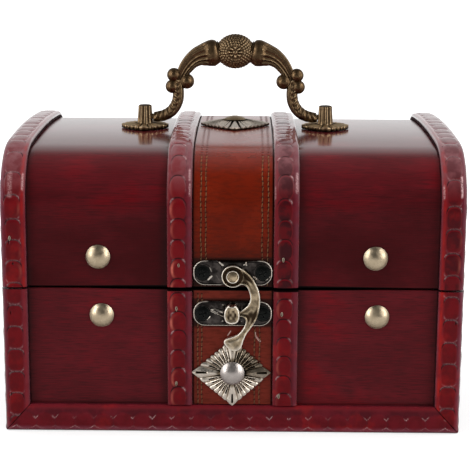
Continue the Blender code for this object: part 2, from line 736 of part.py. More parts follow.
def make_latch(finishes, base, lid_parts, lid, hook):
    """The hook on its plate above the seam, and the catch below it."""
    upper = latch_plate("hook_plate", HOOK_PLATE_Z, finishes["latch"], lid)
    combine(upper, cutter("hook_plate_pad", hook_pad()), "UNION")
    above = [upper, lid_parts["leather"], lid_parts["shell"]]
    plate_screws("hook_plate", HOOK_PLATE_Z, finishes["screw"], lid, above)

    lower = latch_plate("catch_plate", CATCH_Z, finishes["latch"], None)
    combine(lower, cutter("catch_plate_tongue", catch_tongue()), "UNION")
    below = [lower, base["front_leather"], base["front"]]
    plate_screws("catch_plate", CATCH_Z, finishes["screw"], None, below)

    arm = extruded(hook_outline(), 0, HOOK_THICKNESS, lambda x, y, z: (x, y, z))
    ease_rim(arm, HOOK_THICKNESS, HOOK_EDGE)
    place = out_of_front(0, HOOK_PIVOT.z, HOOK_FACE - HOOK_THICKNESS)
    arm = solid("hook_arm", placed(arm, place), finishes["hook"], hook)
    seat = HOOK_FACE + CLEARANCE
    reach = reach_from(seat, RIVET_SHANK_RADIUS)
    rivet = (RIVET_HEAD_RADIUS, RIVET_HEAD_HEIGHT, 0, RIVET_SHANK_RADIUS, reach)
    fasten("hook_rivet", rivet, out_of_front(0, HOOK_PIVOT.z, seat),
           finishes["hook"], lid, [arm, *above])


# Hinges


def knuckle(start, end, up):
    """One knuckle of a hinge with the root that joins it to its leaf. Up is 1 on the lid's leaf."""
    leaf_y = PANEL_Y + CLEARANCE - LID_PIVOT.y
    turns = [math.pi / 2 - 1.5 * math.pi * step / ROUND_STEPS for step in range(ROUND_STEPS)]
    outline = [
        Vector((HINGE_BARREL_RADIUS * math.cos(turn), HINGE_BARREL_RADIUS * math.sin(turn)))
        for turn in turns
    ]
    root = HINGE_BARREL_RADIUS - HINGE_ROOT
    outline += [Vector((leaf_y, root)), Vector((leaf_y, HINGE_BARREL_RADIUS))]
    return extruded(outline, start, end,
                    lambda y, z, x: (x, LID_PIVOT.y + y, LID_PIVOT.z + up * z))


def hinge_leaf(name, centre, up, segments, finish, carrier):
    """A flat leaf on the back panel with its knuckles, bored for the pin."""
    half, edge = HINGE_WIDTH / 2, HINGE_BARREL_RADIUS - HINGE_ROOT
    outline = filleted((
        (-half, edge, 0), (half, edge, 0),
        (half, HINGE_LEAF_HEIGHT, HINGE_LEAF_CORNER), (-half, HINGE_LEAF_HEIGHT, HINGE_LEAF_CORNER),
    ))
    leaf_y = PANEL_Y + CLEARANCE
    leaf = solid(name, extruded(
        outline, leaf_y, leaf_y + HINGE_LEAF_THICKNESS,
        lambda x, z, y: (centre + x, y, LID_PIVOT.z + up * z)), finish, carrier)
    for index, (start, end) in enumerate(segments):
        part = cutter(f"{name}_knuckle_{index}", knuckle(centre + start, centre + end, up))
        combine(leaf, part, "UNION")
    bore = extruded(circle(HINGE_PIN_RADIUS + CLEARANCE), centre - half - OVERRUN,
                    centre + half + OVERRUN, lambda y, z, x: (x, LID_PIVOT.y + y, LID_PIVOT.z + z))
    combine(leaf, cutter(f"{name}_bore", bore), "DIFFERENCE")


def hinge_pin_profile():
    """The pin with a low head at each end, as (radius, along) from its middle."""
    tip = HINGE_WIDTH / 2 + CLEARANCE
    shoulder, head = tip + HINGE_PIN_HEAD_HEIGHT / 2, tip + HINGE_PIN_HEAD_HEIGHT
    half = [(0, head), (HINGE_PIN_HEAD_RADIUS / 2, head), (HINGE_PIN_HEAD_RADIUS, shoulder),
            (HINGE_PIN_HEAD_RADIUS, tip), (HINGE_PIN_RADIUS, tip)]
    return half + [(radius, -along) for radius, along in reversed(half)]


def make_hinges(finishes, lid):
    """Two hinges of three knuckles at the back, with headed pins."""
    half, third = HINGE_WIDTH / 2, HINGE_WIDTH / 6
    outer = ((-half, -third - CLEARANCE / 2), (third + CLEARANCE / 2, half))
    middle = ((-third + CLEARANCE / 2, third - CLEARANCE / 2),)
    for end, name in ((-1, "left"), (1, "right")):
        centre = end * BAY_X
        hinge_leaf(f"hinge_base_leaf_{name}", centre, -1, outer, finishes["hinge"], None)
        hinge_leaf(f"hinge_lid_leaf_{name}", centre, 1, middle, finishes["hinge"], lid)
        along = Matrix.Rotation(math.pi / 2, 4, "Y")
        place = Matrix.Translation((centre, LID_PIVOT.y, LID_PIVOT.z)) @ along
        solid(f"hinge_pin_{name}", placed(turned(hinge_pin_profile()), place), finishes["hinge"])


# Handle


def along_spine(rows, ring_at):
    """Rings along rows of (along, up, size), square to the spine in the plane of the bail."""
    rings = []
    for index, row in enumerate(rows):
        ahead = rows[min(index + 1, len(rows) - 1)] - rows[max(index - 1, 0)]
        side = Vector((-ahead.y, ahead.x)).normalized()
        rings.append([
            (row.x + side.x * point.x, point.y, row.y + side.y * point.x)
            for point in ring_at(index, row.z)
        ])
    return rings


def bail_rows(shares, radius, steps):
    """The spine through these shares, as (along, up, size), with steps spans between two points."""
    scaled = [(along * BAIL_REACH, up * BAIL_RISE, size * radius) for along, up, size in shares]
    return smooth_through(scaled, steps)


def horn():
    """One fluted horn of the bail, from the bead down to the scrolls."""
    rows = bail_rows(HORN_SHARES, HORN_RADIUS, 1)
    steps = HORN_FLUTES * 3

    def ring_at(index, radius):
        fade = math.sin(math.pi * min(1, index / (len(rows) - 1) + HORN_FADE_SHARE))
        ring = []
        for point in circle(radius, steps):
            turn = math.atan2(point.y, point.x)
            flute = 1 - HORN_FLUTE_SHARE * fade * (1 - math.cos(HORN_FLUTES * turn))
            ring.append(Vector((point.x * flute, point.y * flute * HORN_DEPTH_SHARE)))
        return ring

    return lofted(along_spine(rows, ring_at))


def rope_arm():
    """One lower arm of the bail, laid like a rope and curving out to its post."""
    rows = bail_rows(ROPE_SHARES, ROPE_RADIUS, 2)
    lengths = [0.0]
    for before, after in zip(rows, rows[1:]):
        lengths.append(lengths[-1] + (after.xy - before.xy).length)

    def ring_at(index, radius):
        ring = []
        for point in circle(radius, ROPE_STRANDS * 4):
            turn = math.atan2(point.y, point.x)
            phase = ROPE_STRANDS * (turn - 2 * math.pi * lengths[index] / ROPE_TURN)
            ring.append(point * (1 - ROPE_LAY_SHARE * (1 - math.cos(phase))))
        return ring

    return lofted(along_spine(rows, ring_at))


def ball(centre, half_sizes, steps):
    """An ellipsoid."""
    mesh = bmesh.new()
    bmesh.ops.create_uvsphere(mesh, u_segments=steps, v_segments=steps * 2 // 3, radius=1)
    bmesh.ops.scale(mesh, vec=half_sizes, verts=mesh.verts)
    bmesh.ops.translate(mesh, vec=centre, verts=mesh.verts)
    return mesh


def bail_half(end):
    """The pieces of one side of the bail, in place."""
    pieces = {"horn": horn(), "rope": rope_arm()}
    for index, (along, up, size) in enumerate(SCROLLS_SHARES):
        radius = size * SCROLL_RADIUS
        half_sizes = (radius, radius * SCROLL_DEPTH_SHARE, radius)
        pieces[f"scroll_{index}"] = ball((along * BAIL_REACH, 0, up * BAIL_RISE), half_sizes, SCROLL_STEPS)
    inner = BAIL_REACH - BAIL_PIN_ROOT
    outer = BAIL_REACH + BAIL_END_GAP + BAIL_PIN_GRIP
    pieces["pin"] = extruded(circle(BAIL_PIN_RADIUS), inner, outer, lambda y, z, x: (x, y, z))
    mirror = Matrix.Diagonal((end, 1, 1, 1))
    for mesh in pieces.values():
        placed(mesh, Matrix.Translation(BAIL_PIVOT) @ mirror)
        bmesh.ops.recalc_face_normals(mesh, faces=mesh.faces)
    return pieces


def make_bail(finishes, handle):
    """The bail: a bead between two fluted horns, with scrolls and rope arms down to the posts."""
    half_sizes = (BEAD_HALF_LENGTH, BEAD_HALF_DEPTH, BEAD_HALF_HEIGHT)
    bead = ball(BAIL_PIVOT + Vector((0, 0, BAIL_RISE)), half_sizes, BEAD_STEPS)
    bail = solid("handle_bail", bead, finishes["bronze"], handle)
    for end, side in ((-1, "left"), (1, "right")):
        for name, mesh in bail_half(end).items():
            combine(bail, cutter(f"handle_bail_{name}_{side}", mesh), "UNION")


def post():
    """A tapered, fluted post with a rounded top, standing on local Z = 0."""
    height = BAIL_PIVOT_RISE + LID_CREST - POST_SEAT + POST_ABOVE_PIVOT
    taper = POST_BASE_RADIUS - POST_TOP_RADIUS
    rings = []
    for up_share, width_share in POST_SHARES:
        radius = (POST_BASE_RADIUS - taper * up_share) * width_share
        ring = []
        for point in circle(radius, POST_FLUTES * 3):
            turn = math.atan2(point.y, point.x)
            flute = 1 - POST_FLUTE_SHARE * (1 - math.cos(POST_FLUTES * turn))
            ring.append((point.x * flute, point.y * flute, height * up_share))
        rings.append(ring)
    return lofted(rings)


def make_posts(finishes, lid_parts, lid):
    """Two posts on rosettes, each held by a screw from inside the lid and bored for the bail's pin."""
    grip = (BAIL_PIVOT.z - BAIL_PIN_RADIUS - CLEARANCE - POST_SEAT) * POST_SCREW_SHARE
    under = LID_CREST - LID_SHELL - CLEARANCE
    screw = (POST_SCREW_HEAD_RADIUS, POST_SCREW_HEAD_HEIGHT, 0, POST_SCREW_RADIUS,
             POST_SEAT + grip - under - POST_SCREW_RADIUS)
    flower = (ROSETTE_RIM, ROSETTE_HUB, ROSETTE_PLEAT, ROSETTE_LOBES, ROSETTE_CORNER_POWER)
    mouth = BAIL_REACH + BAIL_END_GAP
    for end, side in ((-1, "left"), (1, "right")):
        across = end * POST_X
        disc = pleated_disc(ROSETTE_RADIUS, ROSETTE_RADIUS, *flower)
        rosette = solid(f"handle_rosette_{side}", placed(disc, out_of_lid(across, 0, CLEARANCE)),
                        finishes["bronze"], lid)
        upright = placed(post(), Matrix.Translation((across, 0, POST_SEAT)))
        standing = solid(f"handle_post_{side}", upright, finishes["bronze"], lid)
        socket = extruded(
            circle(BAIL_PIN_RADIUS + CLEARANCE), end * (mouth - OVERRUN),
            end * (mouth + BAIL_PIN_GRIP + CLEARANCE), lambda y, z, x: (x, y, BAIL_PIVOT.z + z))
        combine(standing, cutter(f"handle_post_{side}_socket", socket), "DIFFERENCE")
        place = Matrix.Translation((across, 0, under)) @ Matrix.Rotation(math.pi, 4, "X")
        fasten(f"handle_screw_{side}", screw, place, finishes["screw"], lid,
               [lid_parts["shell"], rosette, standing])


def main():
    clear_scene()
    finishes = {
        "panel": material("panel_lacquer", (0.115, 0.012, 0.018), 0.36, coat=0.3),
        "trim": material("trim_lacquer", (0.26, 0.012, 0.020), 0.24, coat=0.5),
        "leather": material("strip_leather", (0.25, 0.040, 0.014), 0.5),
        "stud": material("pale_brass", (0.66, 0.58, 0.42), 0.28, metallic=1.0),
        "nail": material("nickel_nail", (0.60, 0.56, 0.52), 0.25, metallic=1.0),
        "ornament": material("antique_silver", (0.52, 0.47, 0.38), 0.4, metallic=1.0),
        "latch": material("dark_latch_metal", (0.10, 0.09, 0.085), 0.35, metallic=1.0),
        "hook": material("antique_brass", (0.34, 0.27, 0.16), 0.35, metallic=1.0),
        "screw": material("black_screw", (0.02, 0.02, 0.022), 0.35, metallic=1.0),
        "bronze": material("antique_bronze", (0.20, 0.14, 0.07), 0.4, metallic=1.0),
        "hinge": material("hinge_metal", (0.30, 0.24, 0.14), 0.4, metallic=1.0),
    }
    lid = pivot("lid_pivot", LID_PIVOT)
    hook = pivot("hook_pivot", HOOK_PIVOT, lid)
    handle = pivot("handle_pivot", BAIL_PIVOT, lid)
    base = make_base(finishes)
    lid_parts = make_lid(finishes, lid)
    make_trim_nails(finishes, base, lid_parts, lid)
    make_latch(finishes, base, lid_parts, lid, hook)
    make_hinges(finishes, lid)
    make_bail(finishes, handle)
    make_posts(finishes, lid_parts, lid)


if __name__ == "__main__":
    main()
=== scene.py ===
"""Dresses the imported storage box: stained boards, embossed trim, leather strip, latch and bail handle.

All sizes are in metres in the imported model's frame: the front faces -Y, the length runs along X and
the box stands on z = 0.
"""

import json
import logging
import math
from collections.abc import Callable, Iterable, Sequence
from dataclasses import dataclass
from enum import Enum

import bpy
import numpy as np
from mathutils import Matrix, Vector
from mathutils.geometry import delaunay_2d_cdt


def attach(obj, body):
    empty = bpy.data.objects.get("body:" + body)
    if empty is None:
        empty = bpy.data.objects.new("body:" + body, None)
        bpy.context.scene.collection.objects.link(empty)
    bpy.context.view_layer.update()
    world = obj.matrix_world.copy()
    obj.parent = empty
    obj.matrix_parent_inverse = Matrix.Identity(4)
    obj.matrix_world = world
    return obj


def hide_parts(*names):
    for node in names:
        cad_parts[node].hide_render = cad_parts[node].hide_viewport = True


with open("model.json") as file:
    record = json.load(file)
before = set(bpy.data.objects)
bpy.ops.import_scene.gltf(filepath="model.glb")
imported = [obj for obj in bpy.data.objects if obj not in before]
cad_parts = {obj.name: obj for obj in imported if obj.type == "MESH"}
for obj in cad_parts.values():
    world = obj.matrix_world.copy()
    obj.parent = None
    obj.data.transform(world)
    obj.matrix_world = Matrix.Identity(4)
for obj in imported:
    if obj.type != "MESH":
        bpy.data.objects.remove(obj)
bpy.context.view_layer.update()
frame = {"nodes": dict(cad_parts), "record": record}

WELD = 2e-6
SEAM_UP = 0.0715
ENDS = ((-1, "left"), (1, "right"))
FACES = ((-1, "front"), (1, "back"))

# How far inside a plate's outline its first rows of points lie, and where the plain filling starts
EDGE_STEPS = (0.00008, 0.00018, 0.0003, 0.00045, 0.00062)
EDGE_REACH = 0.00075

log = logging.getLogger("storage_box")

Socket = bpy.types.NodeSocket
Thing = bpy.types.Object
Array = np.ndarray
Colour = tuple[float, float, float]
Spots = tuple[tuple[float, float], ...]
Spine = tuple[tuple[float, float, float], ...]
Strokes = tuple[tuple[float, float, float, float, float], ...]

# Where a grid's points go, for their columns and rows
Placer = Callable[[Array, Array], Array]
# Where a strip's points go, for their distances across, out and along
Spread = Callable[[Array, Array, Array], Array]
# How high a plate's points rise, for x, y and the distance from its outline
Heights = Callable[[Array, Array, Array], Array]


class Body(Enum):
    """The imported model's moving bodies."""

    BASE = "base"
    LID = "lid"
    HOOK = "hook"
    HANDLE = "handle"


class Along(Enum):
    """The axis that a board's grain follows, as a share of the grain's scale along X, Y and Z."""

    LENGTH = (0.045, 1.0, 1.0)
    DEPTH = (1.0, 0.045, 1.0)


# Shared modelling steps


class Bench:
    """Modelling steps that every piece shares, done with Blender's own operators."""

    @staticmethod
    def clear() -> None:
        """Deselects everything, in object mode."""
        if bpy.context.object and bpy.context.object.mode != "OBJECT":
            bpy.ops.object.mode_set(mode="OBJECT")
        bpy.ops.object.select_all(action="DESELECT")

    @staticmethod
    def pick(made: Thing) -> None:
        """Selects one object alone and makes it the active one.

        Args:
            made: The object.
        """
        Bench.clear()
        made.select_set(True)
        bpy.context.view_layer.objects.active = made

    @staticmethod
    def edit(made: Thing) -> None:
        """Enters edit mode on one object with all of it selected.

        Args:
            made: The object.
        """
        Bench.pick(made)
        bpy.ops.object.mode_set(mode="EDIT")
        bpy.ops.mesh.select_all(action="SELECT")

    @staticmethod
    def named(name: str) -> Thing:
        """Names the primitive that was just added and returns it.

        Args:
            name: Its name.

        Returns:
            The primitive.
        """
        made = bpy.context.object
        made.name = made.data.name = name
        return made

    @staticmethod
    def sheet(name: str, columns: int, rows: int, place: Placer) -> Thing:
        """Adds a grid and moves each of its points to its place on the piece.

        Args:
            name: The new object's name.
            columns: Faces across the grid.
            rows: Faces along the grid.
            place: Gives the points for their columns and rows.

        Returns:
            The new object, still open at the grid's edges.
        """
        Bench.clear()
        bpy.ops.mesh.primitive_grid_add(x_subdivisions=columns, y_subdivisions=rows, size=1)
        made = Bench.named(name)
        points = Bench.points(made)
        column = np.rint((points[:, 0] + 0.5) * columns).astype(int)
        row = np.rint((points[:, 1] + 0.5) * rows).astype(int)
        moved = place(column, row)
        made.data.vertices.foreach_set("co", np.asarray(moved, np.float32).ravel())
        return made

    @staticmethod
    def points(made: Thing) -> Array:
        """The object's points as rows of x, y and z.

        Args:
            made: The object.

        Returns:
            One row for each point.
        """
        flat = np.empty(len(made.data.vertices) * 3, np.float32)
        made.data.vertices.foreach_get("co", flat)
        return flat.reshape(-1, 3).astype(float)

    @staticmethod
    def mark(made: Thing, name: str, values: Array) -> None:
        """Stores a number for each point, which a material can read by name."""
        layer = made.data.attributes.new(name, "FLOAT", "POINT")
        layer.data.foreach_set("value", np.asarray(values, np.float32).ravel())

    @staticmethod
    def close(made: Thing) -> Thing:
        """Welds the grid's seam and poles, fills what is still open and turns all faces outwards.

        Args:
            made: The piece.

        Returns:
            The same piece, closed.
        """
        Bench.edit(made)
        bpy.ops.mesh.remove_doubles(threshold=WELD)
        bpy.ops.mesh.fill_holes(sides=0)
        bpy.ops.mesh.normals_make_consistent(inside=False)
        bpy.ops.object.mode_set(mode="OBJECT")
        return made

    @staticmethod
    def turned(name: str, profile: Sequence[tuple[float, float]], segments: int = 48) -> Thing:
        """Draws a round shape up from a disc, ring by ring.

        Args:
            name: The new object's name.
            profile: The radius and the height of each ring. A last radius of 0 closes in a point.
            segments: Faces round the shape.

        Returns:
            The closed shape, standing along Z on the first ring's height.
        """
        Bench.clear()
        (radius, height), *rings = profile
        bpy.ops.mesh.primitive_circle_add(vertices=segments, radius=radius, fill_type="NGON")
        made = Bench.named(name)
        Bench.edit(made)
        bpy.ops.transform.translate(value=(0, 0, height))
        for next_radius, next_height in rings:
            rise = {"value": (0, 0, next_height - height)}
            bpy.ops.mesh.extrude_region_move(TRANSFORM_OT_translate=rise)
            if next_radius:
                scale = next_radius / radius
                bpy.ops.transform.resize(value=(scale, scale, 1), center_override=(0, 0, next_height))
            else:
                bpy.ops.mesh.merge(type="CENTER")
            radius, height = next_radius, next_height
        bpy.ops.mesh.select_all(action="SELECT")
        bpy.ops.mesh.normals_make_consistent(inside=False)
        bpy.ops.object.mode_set(mode="OBJECT")
        return made

    @staticmethod
    def dome(radius: float, height: float, steps: int = 10, start: float = 0.0) -> list[tuple[float, float]]:
        """A dome's profile, from its edge at a start height up to a point in the middle.

        Args:
            radius: The edge's radius.
            height: How far the middle rises over the edge.
            steps: Rings in the profile.
            start: The edge's height.

        Returns:
            The radius and the height of each ring.
        """
        ball = (radius**2 + height**2) / (2 * height)
        reach = math.asin(radius / ball)
        turns = [reach * (1 - step / steps) for step in range(steps + 1)]
        return [(ball * math.sin(turn), start + height - ball * (1 - math.cos(turn))) for turn in turns]

    @staticmethod
    def ball(name: str, half_sizes: Sequence[float], segments: int, rings: int) -> Thing:
        """An ellipsoid from a UV sphere, with its poles on Z.

        Args:
            name: The new object's name.
            half_sizes: Half its size along X, Y and Z.
            segments: Faces round it.
            rings: Faces from pole to pole.

        Returns:
            The ball, about the origin.
        """
        Bench.clear()
        bpy.ops.mesh.primitive_uv_sphere_add(segments=segments, ring_count=rings, radius=1)
        made = Bench.named(name)
        return Bench.settle(made, Matrix.Diagonal((*half_sizes, 1)))

    @staticmethod
    def reshape(made: Thing, move: Callable[[Array], Array]) -> Thing:
        """Moves all points of an object by a rule.

        Args:
            made: The piece.
            move: Gives the moved points.

        Returns:
            The same piece.
        """
        moved = move(Bench.points(made))
        made.data.vertices.foreach_set("co", np.asarray(moved, np.float32).ravel())
        made.data.update()
        return made

    @staticmethod
    def relief(name: str, outline: Array, spacing: float, height: Heights) -> Thing:
        """Fills an outline with fine faces, raises them to a height map and closes them flat behind.

        Args:
            name: The new object's name.
            outline: The outline's points as rows of x and y.
            spacing: About how far apart the points inside lie.
            height: Gives heights for x, y and the distance from the outline.

        Returns:
            The closed relief, with its back on z = 0.
        """
        ends = np.roll(outline, -1, axis=0)
        runs = np.linalg.norm(ends - outline, axis=1)
        edge = np.concatenate([start + (end - start) * np.arange(count)[:, None] / count
                               for start, end, count in
                               zip(outline, ends, np.maximum(1, np.ceil(runs / spacing)).astype(int))])
        following, leading = np.roll(edge, -1, axis=0), np.roll(edge, 1, axis=0)
        heading = following - leading
        inward = np.column_stack((-heading[:, 1], heading[:, 0])) / np.linalg.norm(heading, axis=1)[:, None]
        area = np.sum(edge[:, 0] * following[:, 1] - following[:, 0] * edge[:, 1])
        inward *= np.sign(area)
        low, high = edge.min(axis=0), edge.max(axis=0)
        across = np.arange(low[0], high[0], spacing)
        up = np.arange(low[1], high[1], spacing * 0.87)
        inner = np.array([(x + (row % 2) * spacing / 2, y) for row, y in enumerate(up) for x in across])
        rows = [edge + inward * step for step in EDGE_STEPS]
        kept = [row[Bench.depth(row, edge) > step * 0.97] for row, step in zip(rows, EDGE_STEPS)]
        inner = inner[Bench.depth(inner, edge) > EDGE_REACH]
        flat = np.concatenate((edge, *kept, inner))
        sides = [(index, (index + 1) % len(edge)) for index in range(len(edge))]
        spots, _, faces, *_ = delaunay_2d_cdt([Vector(spot) for spot in flat], sides, [], 1, 1e-9)
        spots = np.array([tuple(spot) for spot in spots])
        distance = np.abs(Bench.depth(spots, edge))
        distance[: len(edge)] = 0
        top = height(spots[:, 0], spots[:, 1], distance)
        rim = len(edge)
        points = np.concatenate((np.column_stack((spots, top)), np.column_stack((edge, np.zeros(rim)))))
        count = len(spots)
        walls = [(a, count + a, count + b, b) for a, b in sides]
        data = bpy.data.meshes.new(name)
        data.from_pydata(points.tolist(), [], [tuple(face) for face in faces] + walls)
        made = bpy.data.objects.new(name, data)
        bpy.context.scene.collection.objects.link(made)
        return Bench.close(made)

    @staticmethod
    def depth(spots: Array, outline: Array) -> Array:
        """How far each spot lies inside an outline. Outside it the depth is negative.

        Args:
            spots: The spots, as rows of x and y.
            outline: The outline's points, as rows of x and y.

        Returns:
            One depth for each spot.
        """
        ends = np.roll(outline, -1, axis=0)
        way = ends - outline
        size = np.sum(way**2, axis=1)
        depths = []
        for part in np.array_split(spots, max(1, len(spots) // 400)):
            offset = part[:, None, :] - outline[None]
            share = np.clip(np.sum(offset * way, axis=2) / size, 0, 1)
            gap = np.linalg.norm(offset - share[..., None] * way, axis=2).min(axis=1)
            straddles = (outline[:, 1] > part[:, None, 1]) != (ends[:, 1] > part[:, None, 1])
            slope = np.divide(way[:, 0], way[:, 1], out=np.zeros(len(way)), where=way[:, 1] != 0)
            hits = outline[:, 0] + (part[:, None, 1] - outline[:, 1]) * slope
            inside = np.sum(straddles & (part[:, None, 0] < hits), axis=1) % 2 == 1
            depths.append(np.where(inside, gap, -gap))
        return np.concatenate(depths)

    @staticmethod
    def worn(made: Thing, reach: float = 0.0007, passes: int = 2,
             shade: Callable[[Array], Array] | None = None) -> Thing:
        """Marks where handling brightens a metal: above 0.5 on edges and below 0.5 in hollows.

        Args:
            made: The piece, in its final shape.
            reach: The edge radius that counts as strongly worn.
            passes: How often the mark is evened out.
            shade: Adds a tone of its own for the points, such as painted highlights and painted shade.

        Returns:
            The same piece.
        """
        count = len(made.data.edges)
        pairs = np.empty(count * 2, np.int32)
        made.data.edges.foreach_get("vertices", pairs)
        first, second = pairs.reshape(-1, 2).T
        normals = np.empty(len(made.data.vertices) * 3, np.float32)
        made.data.vertices.foreach_get("normal", normals)
        normals = normals.reshape(-1, 3)
        points = Bench.points(made)
        way = points[second] - points[first]
        size = np.maximum(np.sum(way**2, axis=1), 1e-12)
        bend, links = np.zeros(len(points)), np.zeros(len(points))
        np.add.at(bend, first, -2 * np.sum(normals[first] * way, axis=1) / size)
        np.add.at(bend, second, 2 * np.sum(normals[second] * way, axis=1) / size)
        np.add.at(links, first, 1)
        np.add.at(links, second, 1)
        links = np.maximum(links, 1)
        mark = 0.5 + 0.5 * np.tanh(bend / links * reach)
        for _ in range(passes):
            total = mark * 2
            np.add.at(total, first, mark[second])
            np.add.at(total, second, mark[first])
            mark = total / (links + 2)
        if shade:
            mark = np.clip(mark + shade(points), 0, 1)
        Bench.mark(made, "wear_and_painted_light", mark)
        return made

    @staticmethod
    def cut(made: Thing, cutters: Iterable[Thing]) -> Thing:
        """Cuts other closed shapes out of a piece, and throws them away.

        Args:
            made: The piece.
            cutters: The shapes to cut out.

        Returns:
            The same piece.
        """
        for cutter in cutters:
            step = made.modifiers.new("cut", "BOOLEAN")
            step.operation, step.solver, step.object = "DIFFERENCE", "EXACT", cutter
            Bench.pick(made)
            bpy.ops.object.modifier_apply(modifier=step.name)
            bpy.data.objects.remove(cutter)
        return made

    @staticmethod
    def block(name: str, low: Sequence[float], high: Sequence[float]) -> Thing:
        """A plain block between two corners, as a cutter or as a start.

        Args:
            name: The new object's name.
            low: Its lowest corner.
            high: Its highest corner.

        Returns:
            The block.
        """
        Bench.clear()
        bpy.ops.mesh.primitive_cube_add(size=1)
        made = Bench.named(name)
        low, high = Vector(low), Vector(high)
        place = Matrix.Translation((low + high) / 2) @ Matrix.Diagonal((*(high - low), 1))
        return Bench.settle(made, place)

    @staticmethod
    def copy(made: Thing, name: str, place: Matrix) -> Thing:
        """A copy with its own mesh, moved by a matrix and with its faces outwards.

        Args:
            made: The piece to copy.
            name: The copy's name.
            place: The matrix that moves the copy.

        Returns:
            The copy.
        """
        again = made.copy()
        again.data = made.data.copy()
        again.name = again.data.name = name
        bpy.context.scene.collection.objects.link(again)
        again.data.transform(place)
        if place.determinant() < 0:
            again.data.flip_normals()
        return again

    @staticmethod
    def join(name: str, pieces: Sequence[Thing]) -> Thing:
        """Joins pieces of one casting into one object.

        Args:
            name: The joined object's name.
            pieces: The pieces, which it takes up.

        Returns:
            The joined object.
        """
        Bench.clear()
        for piece in pieces:
            piece.select_set(True)
        bpy.context.view_layer.objects.active = pieces[0]
        bpy.ops.object.join()
        return Bench.named(name)

    @staticmethod
    def settle(made: Thing, place: Matrix) -> Thing:
        """Moves the object by a matrix and applies it, so that its place is in its mesh.

        Args:
            made: The piece.
            place: The matrix that puts it in its place.

        Returns:
            The same piece, its object at the origin.
        """
        Bench.pick(made)
        made.matrix_world = place @ made.matrix_world
        bpy.ops.object.transform_apply(location=True, rotation=True, scale=True)
        return made

    @staticmethod
    def smooth(made: Thing, degrees: float = 35.0) -> Thing:
        """Shades the piece smooth, apart from edges sharper than an angle.

        Args:
            made: The piece.
            degrees: The angle past which an edge stays sharp.

        Returns:
            The same piece.
        """
        Bench.pick(made)
        bpy.ops.object.shade_smooth_by_angle(angle=math.radians(degrees))
        return made

    @staticmethod
    def dress(name: str, material: bpy.types.Material) -> None:
        """Gives a CAD node that keeps its solid its finish.

        Args:
            name: The node's name.
            material: Its finish.
        """
        node = frame["nodes"][name]
        node.data.materials.clear()
        node.data.materials.append(material)
        log.info("%s keeps its solid", name)

    @staticmethod
    def deliver(made: Thing, material: bpy.types.Material, body: Body, slot: str,
                nodes: Iterable[str] = ()) -> Thing:
        """Gives a piece its finish, its body and the CAD nodes that it stands for.

        Args:
            made: The piece, in place.
            material: Its finish, which it gets only if it has no material yet.
            body: The body that it moves with.
            slot: The record's material slot. Not used.
            nodes: The CAD nodes that it replaces.

        Returns:
            The same piece.
        """
        if not made.data.materials:
            made.data.materials.append(material)
        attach(made, body.value)
        if nodes:
            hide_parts(*nodes)
        made.data.calc_loop_triangles()
        log.info("%s: %d triangles on %s", made.name, len(made.data.loop_triangles), body.value)
        return made


def stand_off(across: float, up: float, out: float) -> Matrix:
    """Places a piece on the front: its X along the length, its Y up and its Z out of the front."""
    return Matrix(((1, 0, 0, across), (0, 0, -1, -out), (0, 1, 0, up), (0, 0, 0, 1)))


def smooth_rows(rows: Sequence[Sequence[float]], steps: int) -> Array:
    """A smooth curve through rows of numbers, with steps spans between two of them.

    Args:
        rows: The rows that the curve runs through.
        steps: Spans between two of them.

    Returns:
        The curve's rows.
    """
    points = np.array(rows, float)
    ends = np.vstack((2 * points[0] - points[1], points, 2 * points[-1] - points[-2]))
    curve = [points[:1]]
    share = (np.arange(steps) + 1)[:, None] / steps
    for before, start, end, after in zip(ends, ends[1:], ends[2:], ends[3:]):
        slope_in, slope_out = (end - before) / 2, (after - start) / 2
        curve.append(start * (2 * share**3 - 3 * share**2 + 1) + slope_in * (share**3 - 2 * share**2 + share)
                     + end * (3 * share**2 - 2 * share**3) + slope_out * (share**3 - share**2))
    return np.concatenate(curve)


def ease(value: Array, low: float, high: float) -> Array:
    """Rises smoothly from 0 at low to 1 at high."""
    share = np.clip((value - low) / (high - low), 0, 1)
    return share * share * (3 - 2 * share)


def hill(value: Array, middle: float | Array, width: float) -> Array:
    """A round hill of height 1 over a middle, which falls away within about its width."""
    return np.exp(-(((value - middle) / width) ** 2))


def from_stroke(x: Array, y: Array, start: Sequence[float], end: Sequence[float]) -> tuple[Array, Array]:
    """How far spots lie from a straight stroke, and at what share of its length.

    Args:
        x: The spots' first coordinates.
        y: Their second coordinates.
        start: The stroke's start.
        end: Its end.

    Returns:
        The distances, and the shares from 0 at the start to 1 at the end.
    """
    way = np.subtract(end, start)
    share = np.clip(((x - start[0]) * way[0] + (y - start[1]) * way[1]) / (way @ way), 0, 1)
    return np.hypot(x - start[0] - share * way[0], y - start[1] - share * way[1]), share


# Finishes


